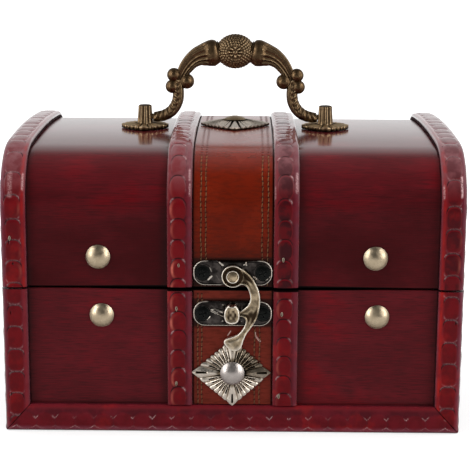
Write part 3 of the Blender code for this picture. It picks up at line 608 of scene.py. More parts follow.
class Nodes:
    """A node tree with the steps that the materials and the world share."""

    def __init__(self, tree: bpy.types.NodeTree) -> None:
        """Takes the tree that new nodes go into."""
        self.tree = tree

    def node(self, kind: str, **settings: object) -> bpy.types.Node:
        """Adds a node and sets its own properties.

        Args:
            kind: The node's type.
            settings: Its own properties.

        Returns:
            The node.
        """
        made = self.tree.nodes.new(kind)
        for name, value in settings.items():
            setattr(made, name, value)
        return made

    def feed(self, socket: Socket, value: object) -> None:
        """Links a socket to another, or sets its constant.

        Args:
            socket: The input.
            value: A socket to link, or a constant.
        """
        if isinstance(value, Socket):
            self.tree.links.new(value, socket)
        elif isinstance(value, tuple) and len(value) == 3 and socket.type == "RGBA":
            socket.default_value = (*value, 1.0)
        else:
            socket.default_value = value

    def range(self, value: Socket, low: float, high: float, start: float = 0.0,
              end: float = 1.0) -> Socket:
        """Maps low to high smoothly onto start to end, and holds the ends.

        Args:
            value: What is mapped.
            low: The value that gives start.
            high: The value that gives end.
            start: The result at low.
            end: The result at high.

        Returns:
            The mapped value.
        """
        made = self.node("ShaderNodeMapRange", interpolation_type="SMOOTHSTEP")
        for name, number in (("From Min", low), ("From Max", high), ("To Min", start), ("To Max", end)):
            made.inputs[name].default_value = number
        self.feed(made.inputs["Value"], value)
        return made.outputs["Result"]

    def math(self, operation: str, *values: object) -> Socket:
        """One arithmetic step.

        Args:
            operation: What the step does.
            values: Its inputs.

        Returns:
            Its result.
        """
        made = self.node("ShaderNodeMath", operation=operation)
        for socket, value in zip(made.inputs, values):
            self.feed(socket, value)
        return made.outputs["Value"]

    def times(self, first: object, second: object) -> Socket:
        """One value times another."""
        return self.math("MULTIPLY", first, second)

    def plus(self, first: object, second: object) -> Socket:
        """One value plus another."""
        return self.math("ADD", first, second)


class Graph(Nodes):
    """A material's nodes round one Principled BSDF, with a colour that is laid on coat by coat."""

    def __init__(self, name: str) -> None:
        """Makes an empty material of that name.

        Args:
            name: The material's name.
        """
        self.material = bpy.data.materials.new(name)
        self.material.use_nodes = True
        super().__init__(self.material.node_tree)
        self.colour: object = (0.0, 0.0, 0.0)
        self.shader = self.tree.nodes["Principled BSDF"]
        self.place = self.node("ShaderNodeTexCoord").outputs["Object"]

    def set(self, **inputs: object) -> None:
        """Sets the shader's inputs, named with underscores for spaces."""
        for name, value in inputs.items():
            self.feed(self.shader.inputs[name.replace("_", " ")], value)

    def stretched(self, scales: Sequence[float], shift: Sequence[float] = (0, 0, 0)) -> Socket:
        """Object coordinates, scaled along each axis and shifted.

        Args:
            scales: The scale along X, Y and Z.
            shift: The shift along X, Y and Z.

        Returns:
            The coordinates.
        """
        mapping = self.node("ShaderNodeMapping")
        self.feed(mapping.inputs["Vector"], self.place)
        mapping.inputs["Scale"].default_value = tuple(scales)
        mapping.inputs["Location"].default_value = tuple(shift)
        return mapping.outputs["Vector"]

    def noise(self, scale: float, detail: float = 2.0, roughness: float = 0.5,
              vector: Socket | None = None, warp: float = 0.0) -> Socket:
        """A noise value from 0 to 1. The scale is in cells per metre.

        Args:
            scale: Cells per metre.
            detail: How many finer layers it has.
            roughness: How strong they are.
            vector: Coordinates of its own.
            warp: How far it is pulled about.

        Returns:
            The noise.
        """
        made = self.node("ShaderNodeTexNoise")
        self.feed(made.inputs["Vector"], vector or self.place)
        for name, value in (("Scale", scale), ("Detail", detail), ("Roughness", roughness),
                            ("Distortion", warp)):
            made.inputs[name].default_value = value
        return made.outputs["Fac"]

    def cells(self, scale: float, feature: str = "F1", vector: Socket | None = None) -> Socket:
        """The distance in a Voronoi pattern. The scale is in cells per metre.

        Args:
            scale: Cells per metre.
            feature: Which distance it gives.
            vector: Coordinates of its own.

        Returns:
            The distance.
        """
        made = self.node("ShaderNodeTexVoronoi", feature=feature)
        self.feed(made.inputs["Vector"], vector or self.place)
        made.inputs["Scale"].default_value = scale
        return made.outputs["Distance"]

    def blend(self, factor: object, under: object, over: object, mode: str = "MIX") -> Socket:
        """Lays one colour over another.

        Args:
            factor: How much of the upper one shows.
            under: The lower colour.
            over: The upper colour.
            mode: How they mix.

        Returns:
            The mixed colour.
        """
        made = self.node("ShaderNodeMix", data_type="RGBA", blend_type=mode)
        for number, value in ((0, factor), (6, under), (7, over)):
            self.feed(made.inputs[number], value)
        return made.outputs[2]

    def lay(self, factor: object, over: object) -> None:
        """Lays one more coat over the material's colour."""
        self.colour = self.blend(factor, self.colour, over)

    def mark(self, name: str) -> Socket:
        """A number that the piece stores for each of its points."""
        return self.node("ShaderNodeAttribute", attribute_name=name).outputs["Fac"]

    def axis(self, name: str, absolute: bool = False) -> Socket:
        """One Object coordinate, or how far it is from zero.

        Args:
            name: X, Y or Z.
            absolute: Whether the sign is dropped.

        Returns:
            The coordinate in metres.
        """
        made = self.node("ShaderNodeSeparateXYZ")
        self.feed(made.inputs["Vector"], self.place)
        return self.math("ABSOLUTE", made.outputs[name]) if absolute else made.outputs[name]

    def glancing(self, low: float, high: float, share: float = 1.0) -> Socket:
        """Rises from 0 where the surface faces the eye to a share where it is seen at a glance.

        Args:
            low: Where it starts to rise.
            high: Where it stops.
            share: The most that it rises to.

        Returns:
            The rise.
        """
        made = self.node("ShaderNodeLayerWeight")
        made.inputs["Blend"].default_value = 0.5
        return self.range(made.outputs["Facing"], low, high, 0.0, share)

    def seam(self) -> Socket:
        """Painted shadow: 1 in the gap between the lid and the base, and 0 away from it.

        Returns:
            The painted shadow's strength.
        """
        gap = self.math("ABSOLUTE", self.math("SUBTRACT", self.axis("Z"), SEAM_UP))
        reach = self.range(self.axis("X", True), 0.030, 0.095, 0.0011, 0.0005)
        return self.range(self.math("DIVIDE", gap, reach), 1.15, 0.85)

    def bump(self, height: Socket, distance: float, strength: float = 1.0) -> None:
        """Raises the surface by a height of 0 to 1 times a distance.

        Args:
            height: The height, from 0 to 1.
            distance: The height of 1 in metres.
            strength: How strongly it shows.
        """
        made = self.node("ShaderNodeBump")
        self.feed(made.inputs["Height"], height)
        made.inputs["Distance"].default_value = distance
        made.inputs["Strength"].default_value = strength
        self.feed(self.shader.inputs["Normal"], made.outputs["Normal"])


@dataclass(frozen=True)
class BoardStain:
    """Dark red stain under semi-gloss lacquer on a fine straight grain, bare and duller inside, with painted
    shade on the lid, near the trims and along the seam.
    """

    name: str
    along: Along
    bent: bool = False
    dark: Colour = (0.074, 0.0076, 0.0102)
    middle: Colour = (0.104, 0.0096, 0.0134)
    bright: Colour = (0.150, 0.0052, 0.0088)
    # Dark tone of the grain streaks, and of the painted shade near the trims
    soot_and_shade: Colour = (0.024, 0.0066, 0.0072)
    # The lid's painted shade
    lid_shade: Colour = (0.032, 0.0024, 0.0030)
    # The seam's painted shadow
    gap: Colour = (0.003, 0.001, 0.001)
    bare: Colour = (0.082, 0.020, 0.013)
    inside_x: float = 0.1006
    inside_y: float = 0.0716

    def make(self) -> bpy.types.Material:
        """Builds the material.

        Returns:
            The finished material.
        """
        g = Graph(self.name)
        stretch = self.along.value
        long_way = g.stretched(stretch)
        streaks = g.noise(2600, 3, 0.6, long_way)
        bands = g.noise(330, 4, 0.62, long_way, 0.3)
        clouds = g.noise(34, 4, 0.6, g.stretched([0.55 + 0.45 * s for s in stretch]))
        g.colour = g.blend(g.range(clouds, 0.36, 0.62), self.dark, self.middle)
        g.lay(g.range(clouds, 0.52, 0.70), self.bright)
        g.lay(g.range(bands, 0.38, 0.66, 0.0, 0.55), self.dark)
        g.lay(g.range(streaks, 0.46, 0.64, 0.0, 0.50), self.soot_and_shade)
        g.lay(g.range(streaks, 0.48, 0.32, 0.0, 0.26), self.bright)
        # Painted shade: the lid's boards darker than the base's, most of all low on the lid's front
        lid_shade_mask = g.times(g.range(g.axis("Z"), 0.0700, 0.0725),
                          g.range(g.axis("Z"), 0.130, 0.080, 0.50, 0.90))
        lid_shade_mask = g.times(lid_shade_mask, g.range(clouds, 0.32, 0.66, 0.90, 0.60))
        g.lay(lid_shade_mask, self.lid_shade)
        # Painted shade near the straps, the ends and the rails
        across = g.axis("X", True)
        near_strap = g.range(across, 0.0365, 0.0310)
        near_end = g.range(across, 0.0950, 0.0985)
        near_rail = g.range(g.axis("Z"), 0.0160, 0.0125)
        shade = g.math("MAXIMUM", g.math("MAXIMUM", near_strap, near_end), near_rail)
        shade = g.times(shade, g.range(clouds, 0.30, 0.60, 0.80, 0.45))
        g.lay(shade, self.soot_and_shade)
        if self.bent:
            outside = g.math("SUBTRACT", 1.0, g.mark("inside"))
        else:
            outside = g.math("MAXIMUM", g.range(across, self.inside_x - 1e-4, self.inside_x),
                             g.range(g.axis("Y", True), self.inside_y - 1e-4, self.inside_y))
        bare = g.blend(g.range(bands, 0.35, 0.70), self.bare, tuple(0.55 * c for c in self.bare))
        seam = g.seam()
        g.colour = g.blend(outside, bare, g.colour)
        # Painted shadow along the seam
        g.lay(seam, self.gap)
        glossy = g.times(g.glancing(0.06, 0.62), g.math("SUBTRACT", outside, seam))
        g.set(Base_Color=g.colour,
              Roughness=g.plus(g.range(streaks, 0.30, 0.70, 0.18, 0.26),
                               g.range(outside, 0.0, 1.0, 0.30, 0.0)), IOR=1.13,
              Coat_Weight=glossy, Coat_Roughness=0.14, Coat_IOR=1.6)
        g.bump(g.plus(g.times(streaks, 0.6), g.times(bands, 0.5)), 0.000012)
        return g.material


@dataclass(frozen=True)
class TrimLacquer:
    """Crimson gloss lacquer on the embossed trim: dark in the scales, pale on worn edges, with painted
    highlights and painted shadow on its relief.
    """

    name: str = "trim_lacquer"
    field_tone: Colour = (0.110, 0.0078, 0.0135)
    scale_tone: Colour = (0.140, 0.0034, 0.0055)
    deep_tone: Colour = (0.026, 0.0040, 0.0060)
    cool_sheen_tone: Colour = (0.200, 0.050, 0.075)
    warm_sheen_tone: Colour = (0.300, 0.012, 0.010)
    hot_tone: Colour = (0.42, 0.014, 0.008)
    flank_highlight_tone: Colour = (0.68, 0.17, 0.12)
    worn_and_highlight_tone: Colour = (0.66, 0.42, 0.42)
    top_pale_tone: Colour = (0.150, 0.066, 0.072)
    crack_tone: Colour = (0.014, 0.0018, 0.0028)

    def make(self) -> bpy.types.Material:
        """Builds the material.

        Returns:
            The finished material.
        """
        g = Graph(self.name)
        clouds = g.noise(150, 3, 0.55)
        patches = g.noise(70, 3, 0.6, g.stretched((1, 1, 1), (0.31, 0.17, 0.05)))
        fine = g.noise(1500, 3, 0.6)
        inside, line, crack, flank_highlight = g.mark("scale"), g.mark("line"), g.mark("crack"), g.mark("flank_highlight")
        live = g.mark("live")
        dull = g.range(live, -0.3, 1.0, 1.0, 0.12)
        g.colour = g.blend(g.range(clouds, 0.35, 0.65, 0.0, 0.5), self.field_tone, self.deep_tone)
        g.lay(g.times(inside, 0.90), self.scale_tone)
        patchy = g.range(clouds, 0.36, 0.58, 0.10, 0.60)
        patchy = g.plus(patchy, g.range(live, -0.1, 0.5, 0.40, 0.15))
        deep = g.times(g.range(inside, 0.45, 1.0), patchy)
        g.lay(g.times(deep, dull), self.deep_tone)
        hot = g.times(g.range(patches, 0.54, 0.68), g.range(inside, 0.9, 0.1, 0.40, 0.80))
        below = g.range(g.axis("Z"), 0.120, 0.104)
        hot = g.times(hot, below)
        g.lay(g.times(hot, g.range(live, 0.2, 1.0, 0.25, 1.0)), self.hot_tone)
        # Painted sheen on the rounded margins, warm red and cool pinkish
        uneven = g.range(clouds, 0.34, 0.62, 0.35, 1.0)
        g.lay(g.times(g.mark("warm_sheen"), uneven), self.warm_sheen_tone)
        g.lay(g.times(g.mark("cool_sheen"), uneven), self.cool_sheen_tone)
        # Painted highlight on each scale's lit flank, weaker on the lid's top
        bright = g.times(flank_highlight, g.range(clouds, 0.30, 0.60, 0.35, 0.95))
        bright = g.times(bright, g.range(below, 0.0, 1.0, 0.20, 1.0))
        g.lay(bright, self.flank_highlight_tone)
        # Paler and pinker towards the lid's top
        paler_on_top = g.range(g.axis("Z"), 0.112, 0.137)
        paler_on_top = g.times(paler_on_top, g.range(clouds, 0.36, 0.62, 0.90, 0.40))
        g.lay(paler_on_top, self.top_pale_tone)
        # Painted shadow in the grooves and the nail slots
        dark = g.range(crack, 0.15, 0.9, 0.0, 0.90)
        g.lay(dark, self.crack_tone)
        # Pale strokes: worn corners that also serve as painted highlights, with the painted gleams
        worn = g.times(line, g.range(fine, 0.38, 0.60, 0.20, 1.0))
        g.lay(worn, self.worn_and_highlight_tone)
        # Painted shade on the strip's hidden side walls and painted shadow along the seam
        hidden = g.math("MAXIMUM", g.range(g.mark("wall"), 0.2, 0.8), g.seam())
        g.lay(hidden, self.crack_tone)
        matt = g.math("MAXIMUM", hidden, dark)
        rough = g.plus(g.range(clouds, 0.35, 0.68, 0.14, 0.26), g.times(matt, 0.5))
        g.set(Base_Color=g.colour, Roughness=rough, IOR=1.17, Coat_Roughness=0.12, Coat_IOR=1.65,
              Coat_Weight=g.times(g.glancing(0.08, 0.66), g.math("SUBTRACT", 1.0, matt)))
        g.bump(g.plus(g.times(clouds, 0.8), g.times(fine, 0.05)), 0.00012)
        return g.material


@dataclass(frozen=True)
class StripLeather:
    """Smooth orange-brown leather, darker and more creased low down, with needle holes, and with painted
    shade and shadow at its edges, holes, the plates and the seam.
    """

    name: str = "strip_leather"
    tan: Colour = (0.112, 0.0086, 0.0024)
    bright: Colour = (0.136, 0.0106, 0.0026)
    dark: Colour = (0.052, 0.0072, 0.0034)
    # The latch plates' middles, with painted shadow round them
    plates: tuple[float, float] = (0.0795, 0.05955)
    # Near black, for all the painted shade and shadow on the leather
    hole: Colour = (0.012, 0.0050, 0.0035)
    scuff: Colour = (0.70, 0.48, 0.42)
    base_strip_tone: Colour = (0.142, 0.0190, 0.0110)

    def make(self) -> bpy.types.Material:
        """Builds the material.

        Returns:
            The finished material.
        """
        g = Graph(self.name)
        pebbles = g.cells(1500)
        creases = g.noise(900, 4, 0.65, g.stretched((0.22, 1, 1)))
        clouds = g.noise(60, 3, 0.55)
        g.colour = g.blend(g.range(clouds, 0.38, 0.64), self.tan, self.bright)
        low = g.range(g.axis("Z"), 0.1000, 0.0840)
        low = g.times(low, g.range(creases, 0.35, 0.65, 0.55, 0.95))
        g.lay(low, self.dark)
        # The base's strips in a lighter, pinker tone than the lid's
        g.lay(g.range(g.axis("Z"), 0.0720, 0.0706, 0.0, 0.85), self.base_strip_tone)
        g.lay(g.range(creases, 0.44, 0.60, 0.0, 0.35), self.dark)
        g.lay(g.range(creases, 0.55, 0.75, 0.0, 0.35), self.dark)
        # Painted shade along the strip's edges beside the straps
        g.lay(g.range(g.axis("X", True), 0.0180, 0.0190, 0.0, 0.8), self.hole)
        # Painted shadow round both latch plates
        for up in self.plates:
            gap = g.math("ABSOLUTE", g.math("SUBTRACT", g.axis("Z"), up))
            g.lay(g.range(gap, 0.0078, 0.0062, 0.0, 0.85), self.hole)
        # Painted shade in the needle holes
        hole = g.mark("hole")
        g.lay(hole, self.hole)
        g.lay(g.mark("scuff"), self.scuff)
        # Painted shadow along the seam
        seam = g.seam()
        g.lay(seam, self.hole)
        bare = g.math("MAXIMUM", hole, seam)
        rough = g.plus(g.range(clouds, 0.35, 0.65, 0.22, 0.30), g.times(bare, 0.5))
        g.set(Base_Color=g.colour, Roughness=rough, IOR=1.15, Coat_Roughness=0.26, Coat_IOR=2.4,
              Coat_Weight=g.times(g.glancing(0.06, 0.62), g.math("SUBTRACT", 1.0, bare)))
        height = g.plus(g.times(pebbles, 0.35), g.times(creases, 0.8))
        g.bump(height, 0.000022)
        return g.material


@dataclass(frozen=True)
class Metal:
    """A plated metal: darker in its hollows, brighter on its worn edges, lightly mottled."""

    name: str
    face: Colour
    edge: Colour
    hollow: Colour
    roughness: float = 0.32
    mottle: float = 420.0
    mottle_share: float = 0.5
    mottle_from: float = 0.42
    scratch: float = 0.00004
    wave: float = 200.0
    wave_height: float = 0.0
    edge_from: float = 0.60
    edge_to: float = 0.78
    hollow_from: float = 0.46
    hollow_to: float = 0.26
    marked: bool = True

    def make(self) -> bpy.types.Material:
        """Builds the material.

        Returns:
            The finished material.
        """
        g = Graph(self.name)
        spots = g.noise(self.mottle, 4, 0.6)
        fine = g.noise(3800, 2, 0.6)
        mottle = g.range(spots, self.mottle_from, self.mottle_from + 0.24, 0.0, self.mottle_share)
        g.colour = g.blend(mottle, self.face, self.hollow)
        if self.marked:
            # The mark also carries painted highlights and painted shade, on the pieces that add them
            wear_and_painted_light = g.mark("wear_and_painted_light")
            g.lay(g.range(wear_and_painted_light, self.edge_from, self.edge_to), self.edge)
            g.lay(g.range(wear_and_painted_light, self.hollow_from, self.hollow_to), self.hollow)
        rough = g.range(spots, 0.35, 0.70, self.roughness - 0.06, self.roughness + 0.12)
        g.set(Base_Color=g.colour, Metallic=1.0, Roughness=rough)
        waves = g.times(g.noise(self.wave, 2, 0.5), self.wave_height / self.scratch)
        height = g.plus(g.times(fine, 0.6), spots)
        g.bump(g.plus(height, waves), self.scratch)
        return g.material


@dataclass(frozen=True)
class Thread:
    """Twisted olive-tan thread."""

    name: str = "stitch_thread"
    light: Colour = (0.230, 0.125, 0.055)
    dark: Colour = (0.080, 0.036, 0.014)

    def make(self) -> bpy.types.Material:
        """Builds the material.

        Returns:
            The finished material.
        """
        g = Graph(self.name)
        fibres = g.noise(5200, 3, 0.6, g.stretched((1, 0.35, 0.35)))
        soiled = g.noise(260, 2, 0.6)
        g.colour = g.blend(g.range(fibres, 0.35, 0.65), self.dark, self.light)
        g.lay(g.range(soiled, 0.46, 0.62, 0.0, 0.75), self.dark)
        g.set(Base_Color=g.colour, Roughness=0.75, Specular_IOR_Level=0.2)
        g.bump(fibres, 0.00006)
        return g.material


@dataclass
class Finishes:
    """Every material of the box, made once."""

    def __post_init__(self) -> None:
        """Makes the materials."""
        self.board_x = BoardStain("board_stain", Along.LENGTH).make()
        self.board_y = BoardStain("board_stain_ends", Along.DEPTH).make()
        self.bent_board = BoardStain("bent_board_stain", Along.LENGTH, True).make()
        self.trim = TrimLacquer().make()
        self.leather = StripLeather().make()
        self.thread = Thread().make()
        self.pale_brass = Metal("pale_brass", (0.52, 0.42, 0.29), (0.60, 0.52, 0.39),
                                (0.30, 0.22, 0.13), 0.33, 500, 0.14, scratch=0.000003).make()
        self.nickel = Metal("nickel_nail", (0.50, 0.45, 0.42), (0.60, 0.56, 0.53),
                            (0.24, 0.20, 0.18), 0.33, 500, 0.10, scratch=0.000003).make()
        self.silver = Metal("antique_silver", (0.23, 0.18, 0.125), (0.70, 0.62, 0.53),
                            (0.012, 0.008, 0.005), 0.33, 500, 0.40, edge_from=0.50, edge_to=0.86,
                            hollow_from=0.44, hollow_to=0.22).make()
        self.latch = Metal("dark_latch_metal", (0.078, 0.066, 0.060), (0.66, 0.59, 0.51),
                           (0.010, 0.0085, 0.0080), 0.24, 190, 0.85, mottle_from=0.34, edge_from=0.60,
                           edge_to=0.80, wave_height=0.0004, scratch=0.00002).make()
        self.brass = Metal("antique_brass", (0.50, 0.390, 0.255), (0.98, 0.90, 0.78),
                           (0.034, 0.021, 0.012), 0.30, 230, 0.72, edge_from=0.61, edge_to=0.80,
                           wave_height=0.0003, scratch=0.00002).make()
        self.bronze = Metal("antique_bronze", (0.150, 0.094, 0.048), (0.56, 0.41, 0.24),
                            (0.024, 0.014, 0.008), 0.38, 420, 0.50, edge_from=0.60, edge_to=0.88,
                            scratch=0.000015).make()
        self.top_nail = Metal("antique_brass_nail", (0.34, 0.24, 0.13), (0.55, 0.42, 0.26),
                              (0.14, 0.09, 0.05), 0.30, 600, 0.4).make()
        self.hinge = Metal("hinge_metal", (0.30, 0.24, 0.14), (0.48, 0.40, 0.26),
                           (0.08, 0.06, 0.03), 0.38, 420, 0.5, marked=False).make()
        self.inner_screw = Metal("inner_screw", (0.05, 0.05, 0.05), (0.1, 0.1, 0.1),
                                 (0.02, 0.02, 0.02), 0.4, 420, 0.5, marked=False).make()
        self.black = Metal("black_screw", (0.013, 0.014, 0.013), (0.10, 0.10, 0.09),
                           (0.006, 0.006, 0.007), 0.34, 600, 0.4).make()


# Woodwork


@dataclass(frozen=True)
class LidLine:
    """The lid shell's outer outline from the front rim over the crest to the back rim."""

    front: float = 0.0765
    rim: float = 0.0724
    shoulder_y: float = 0.0515
    shoulder_z: float = 0.1107
    shoulder_radius: float = 0.025
    crown_radius: float = 0.765
    crest: float = 0.1375

    @property
    def lean(self) -> float:
        """The crown's slope where it meets a shoulder."""
        return math.atan2(self.shoulder_y, self.shoulder_z - self.crest + self.crown_radius)

    @property
    def legs(self) -> tuple[float, float, float]:
        """The lengths of the upright, the shoulder and half the crown."""
        turn = math.pi / 2 - self.lean
        return self.shoulder_z - self.rim, self.shoulder_radius * turn, self.crown_radius * self.lean

    @property
    def length(self) -> float:
        """The whole outline's length."""
        return 2 * sum(self.legs)

    def at(self, along: Array) -> tuple[Array, Array]:
        """Follows the outline, with the joins between its curves evened out.

        Args:
            along: Distances from the front rim.

        Returns:
            Points and outward normals, each as rows of y and z.
        """
        near = [self.drawn(along + offset) for offset in (-0.005, -0.0025, 0.0, 0.0025, 0.005)]
        points, normals = (np.mean(rows, axis=0) for rows in zip(*near))
        return points, normals / np.linalg.norm(normals, axis=-1, keepdims=True)

    def cover(self, across: Array, out: Array, along: Array) -> Array:
        """Points of a strip that is bent over the lid."""
        point, normal = self.at(along)
        return np.column_stack((across, point + normal * out[:, None]))

    def drawn(self, along: Array) -> tuple[Array, Array]:
        """Follows the outline as it is drawn, from arcs and straight runs.

        Args:
            along: Distances from the front rim.

        Returns:
            Points and outward normals, each as rows of y and z.
        """
        upright, bend, half_crown = self.legs
        half = upright + bend + half_crown
        back = along > half
        distance = np.where(back, 2 * half - along, along)
        on_bend = np.clip(distance - upright, 0, bend) / self.shoulder_radius
        on_crown = np.clip(distance - upright - bend, 0, half_crown) / self.crown_radius
        tilt = math.pi / 2 - on_bend - on_crown
        crowned = distance > upright + bend
        middle_y = np.where(crowned, 0.0, -self.shoulder_y)
        middle_z = np.where(crowned, self.crest - self.crown_radius, self.shoulder_z)
        radius = np.where(crowned, self.crown_radius, self.shoulder_radius)
        y = middle_y - radius * np.sin(tilt)
        z = middle_z + radius * np.cos(tilt) - np.clip(upright - distance, 0, None)
        side = np.where(back, -1.0, 1.0)
        points = np.stack((y * side, z), axis=-1)
        normals = np.stack((-np.sin(tilt) * side, np.cos(tilt)), axis=-1)
        return points, normals


@dataclass(frozen=True)
class Scales:
    """A row of embossed scales along a strip, each lying over the foot of the next."""

    pitch: float = 0.0094
    half_length: float = 0.0056
    half_width: float = 0.0039
    middle: float = 0.0
    start: float = 0.0020
    power: float = 2.4
    swell: float = 0.00042
    tilt: float = 0.00022
    groove: float = 0.00026
    groove_width: float = 0.00026
    lit_side: float = -1.0
    glow: float = 1.0
    outline: float = 0.30
    ridge: float = 0.0
    fork: float = 0.0
    rub_and_highlight: float = 1.0
    turned: bool = False
    seed: float = 0.0

    def stamp(self, along: Array, across: Array) -> dict[str, Array]:
        """Works out the relief at points of the strip's face.

        Args:
            along: Distances along the strip.
            across: Distances across it, from its reference edge or middle.

        Returns:
            The height, and how much each point is inside a scale, on its painted flank highlight, on its
            pale corner strokes, worn and painted as highlights, and in its groove's painted shadow.
        """
        nearest = np.floor((along - self.start) / self.pitch)
        inside, height = np.zeros_like(along), np.zeros_like(along)
        groove, line, flank_highlight = np.zeros_like(along), np.zeros_like(along), np.zeros_like(along)
        crack = np.zeros_like(along)
        hidden = np.zeros(along.shape, bool)
        for offset in (-1, 0, 1, 2):
            number = nearest + offset
            wobble = np.sin(number * 2.4 + self.seed)
            reach = self.half_width * (1 + 0.05 * np.sin(number * 5.1 + self.seed))
            u = (along - self.start - number * self.pitch - 0.0003 * wobble) / self.half_length
            v = (across - self.middle - 0.00018 * wobble) / reach
            r = (np.abs(u) ** self.power + np.abs(v) ** self.power) ** (1 / self.power)
            gap = (1 - r) * self.half_width
            shown = ~hidden
            own = shown & (r < 1)
            inside = np.where(own, np.clip(gap / 0.0008, 0, 1), inside)
            body = self.swell * (1 - r**4) + self.tilt * (1 + 0.4 * wobble) * u
            height = np.where(own, body, height)
            cut = hill(gap, 0.0, self.groove_width) * shown
            groove = np.maximum(groove, cut * (0.7 + 0.3 * np.sin(number * 3.7 + self.seed)))
            # The groove's painted shadow, strongest at the scale's top end
            foot = self.outline + (1 - self.outline) * np.clip(u * 2.2 - 0.4, 0, 1)
            crack = np.maximum(crack, cut * foot)
            # Painted highlight on the flank that faces the lit side
            facing = np.clip(v * self.lit_side, 0, 1) ** 0.7 * np.clip(1.3 - np.abs(u) * 1.5, 0, 1)
            band = hill(gap, 0.00080, 0.00055)
            amount = self.glow * (0.55 + 0.45 * np.sin(number * 1.9 + 2 * self.seed))
            flank_highlight = np.where(own, band * facing * amount, flank_highlight)
            end = np.abs(u)
            # Pale corner strokes: worn edges that also serve as painted highlights
            strokes = hill(gap, -0.00012, 0.00022) * shown * np.where(u > 0, 1.0, self.fork)
            corner = np.clip((end - 0.48) / 0.16, 0, 1) * np.clip((np.abs(v) - 0.36) / 0.12, 0, 1)
            corner = corner * np.clip((0.98 - end) / 0.1, 0, 1) * np.clip((0.94 - np.abs(v)) / 0.08, 0, 1)
            choice = np.clip(0.5 + 0.7 * np.sin(number * 7.3 + self.seed + 1.3 * np.sign(v)), 0, 1)
            flat = self.ridge * np.clip((end - 0.80) / 0.1, 0, 1) * np.clip((0.78 - np.abs(v)) / 0.1, 0, 1)
            line = np.maximum(line, strokes * np.maximum(corner * choice, flat) * self.rub_and_highlight)
            hidden = hidden | (r < 1)
        if self.turned:
            line = self.cusps(along, across)
            crack, inside, groove = crack * 0.25, inside * 0.35, groove * 0.4
        return {"height": height - self.groove * groove + 0.00012 * line, "scale": inside, "line": line,
                "crack": crack * (1 - line), "flank_highlight": flank_highlight}

    def cusps(self, along: Array, across: Array) -> Array:
        """The pale ticks where two coins of a rail meet, worn and painted as highlights: clear ones above and
        faint waves below.

        Args:
            along: Distances along the strip.
            across: Distances across it.

        Returns:
            How strongly each point is rubbed.
        """
        turn = (along - self.start) / self.pitch - 0.5
        number = np.rint(turn)
        off = (turn - number) * self.pitch - 0.0002 * np.sin(number * 3.1 + self.seed)
        clear = 0.55 + 0.45 * np.sin(number * 5.3 + self.seed)
        size = 0.0012 + 0.0004 * np.sin(number * 2.3)
        rise = np.abs(off) * np.where(off > 0, 1.15, 0.85)
        tick = hill(across - self.middle, 0.0019 + rise, 0.00022)
        tick = tick * (1 - ease(np.abs(off), size * 0.8, size * 1.2)) * clear
        dip = self.middle - 0.0017 - 0.0017 * np.sin(np.pi * np.abs(off) / self.pitch) ** 0.8
        wave = hill(across, dip, 0.00020) * (1 - 0.75 * ease(np.abs(off), 0.0010, 0.0030))
        wave = wave * 0.80 * (0.6 + 0.4 * np.sin(number * 1.7 + self.seed))
        return np.maximum(tick, wave) * self.rub_and_highlight


@dataclass(frozen=True)
class Section:
    """A strip's dense cross-section: a ring of points with the ways that its relief moves them."""

    points: Array
    normals: Array

    @staticmethod
    def through(corners: Sequence[tuple[float, float, float]], closing: Sequence[tuple[float, float]],
                spacing: float) -> "Section":
        """Runs along corners, rounds those that have a radius, and returns by plain closing points.

        Args:
            corners: Across, out and radius of each corner of the open outline.
            closing: Plain points on the way back to the first corner.
            spacing: The most between two points of the outline.

        Returns:
            The section, with its first point again at its end.
        """
        spots = [np.array(corner[:2]) for corner in corners]
        points: list[Array] = []
        normals: list[Array] = []
        last = spots[0]
        for index in range(1, len(corners)):
            corner, radius = spots[index], corners[index][2]
            way = corner - last
            heading = way / np.linalg.norm(way)
            stop = corner
            if radius:
                after = spots[index + 1] - corner
                after = after / np.linalg.norm(after)
                stop = corner - heading * radius
            run = np.linalg.norm(stop - last)
            count = max(1, math.ceil(run / spacing))
            side = np.array((-heading[1], heading[0]))
            for step in range(count + (0 if radius else 1)):
                points.append(last + (stop - last) * step / count)
                normals.append(side)
            last = stop
            if radius:
                arc = max(4, math.ceil(math.pi / 2 * radius / spacing))
                centre = stop - side * radius
                for step in range(arc):
                    turn = math.pi / 2 * step / arc
                    normal = side * math.cos(turn) + heading * math.sin(turn)
                    points.append(centre + normal * radius)
                    normals.append(normal)
                last = centre + heading * radius
        for spot in (*closing, corners[0][:2]):
            points.append(np.array(spot))
            normals.append(np.zeros(2))
        normals[-1] = normals[0]
        return Section(np.array(points), np.array(normals))


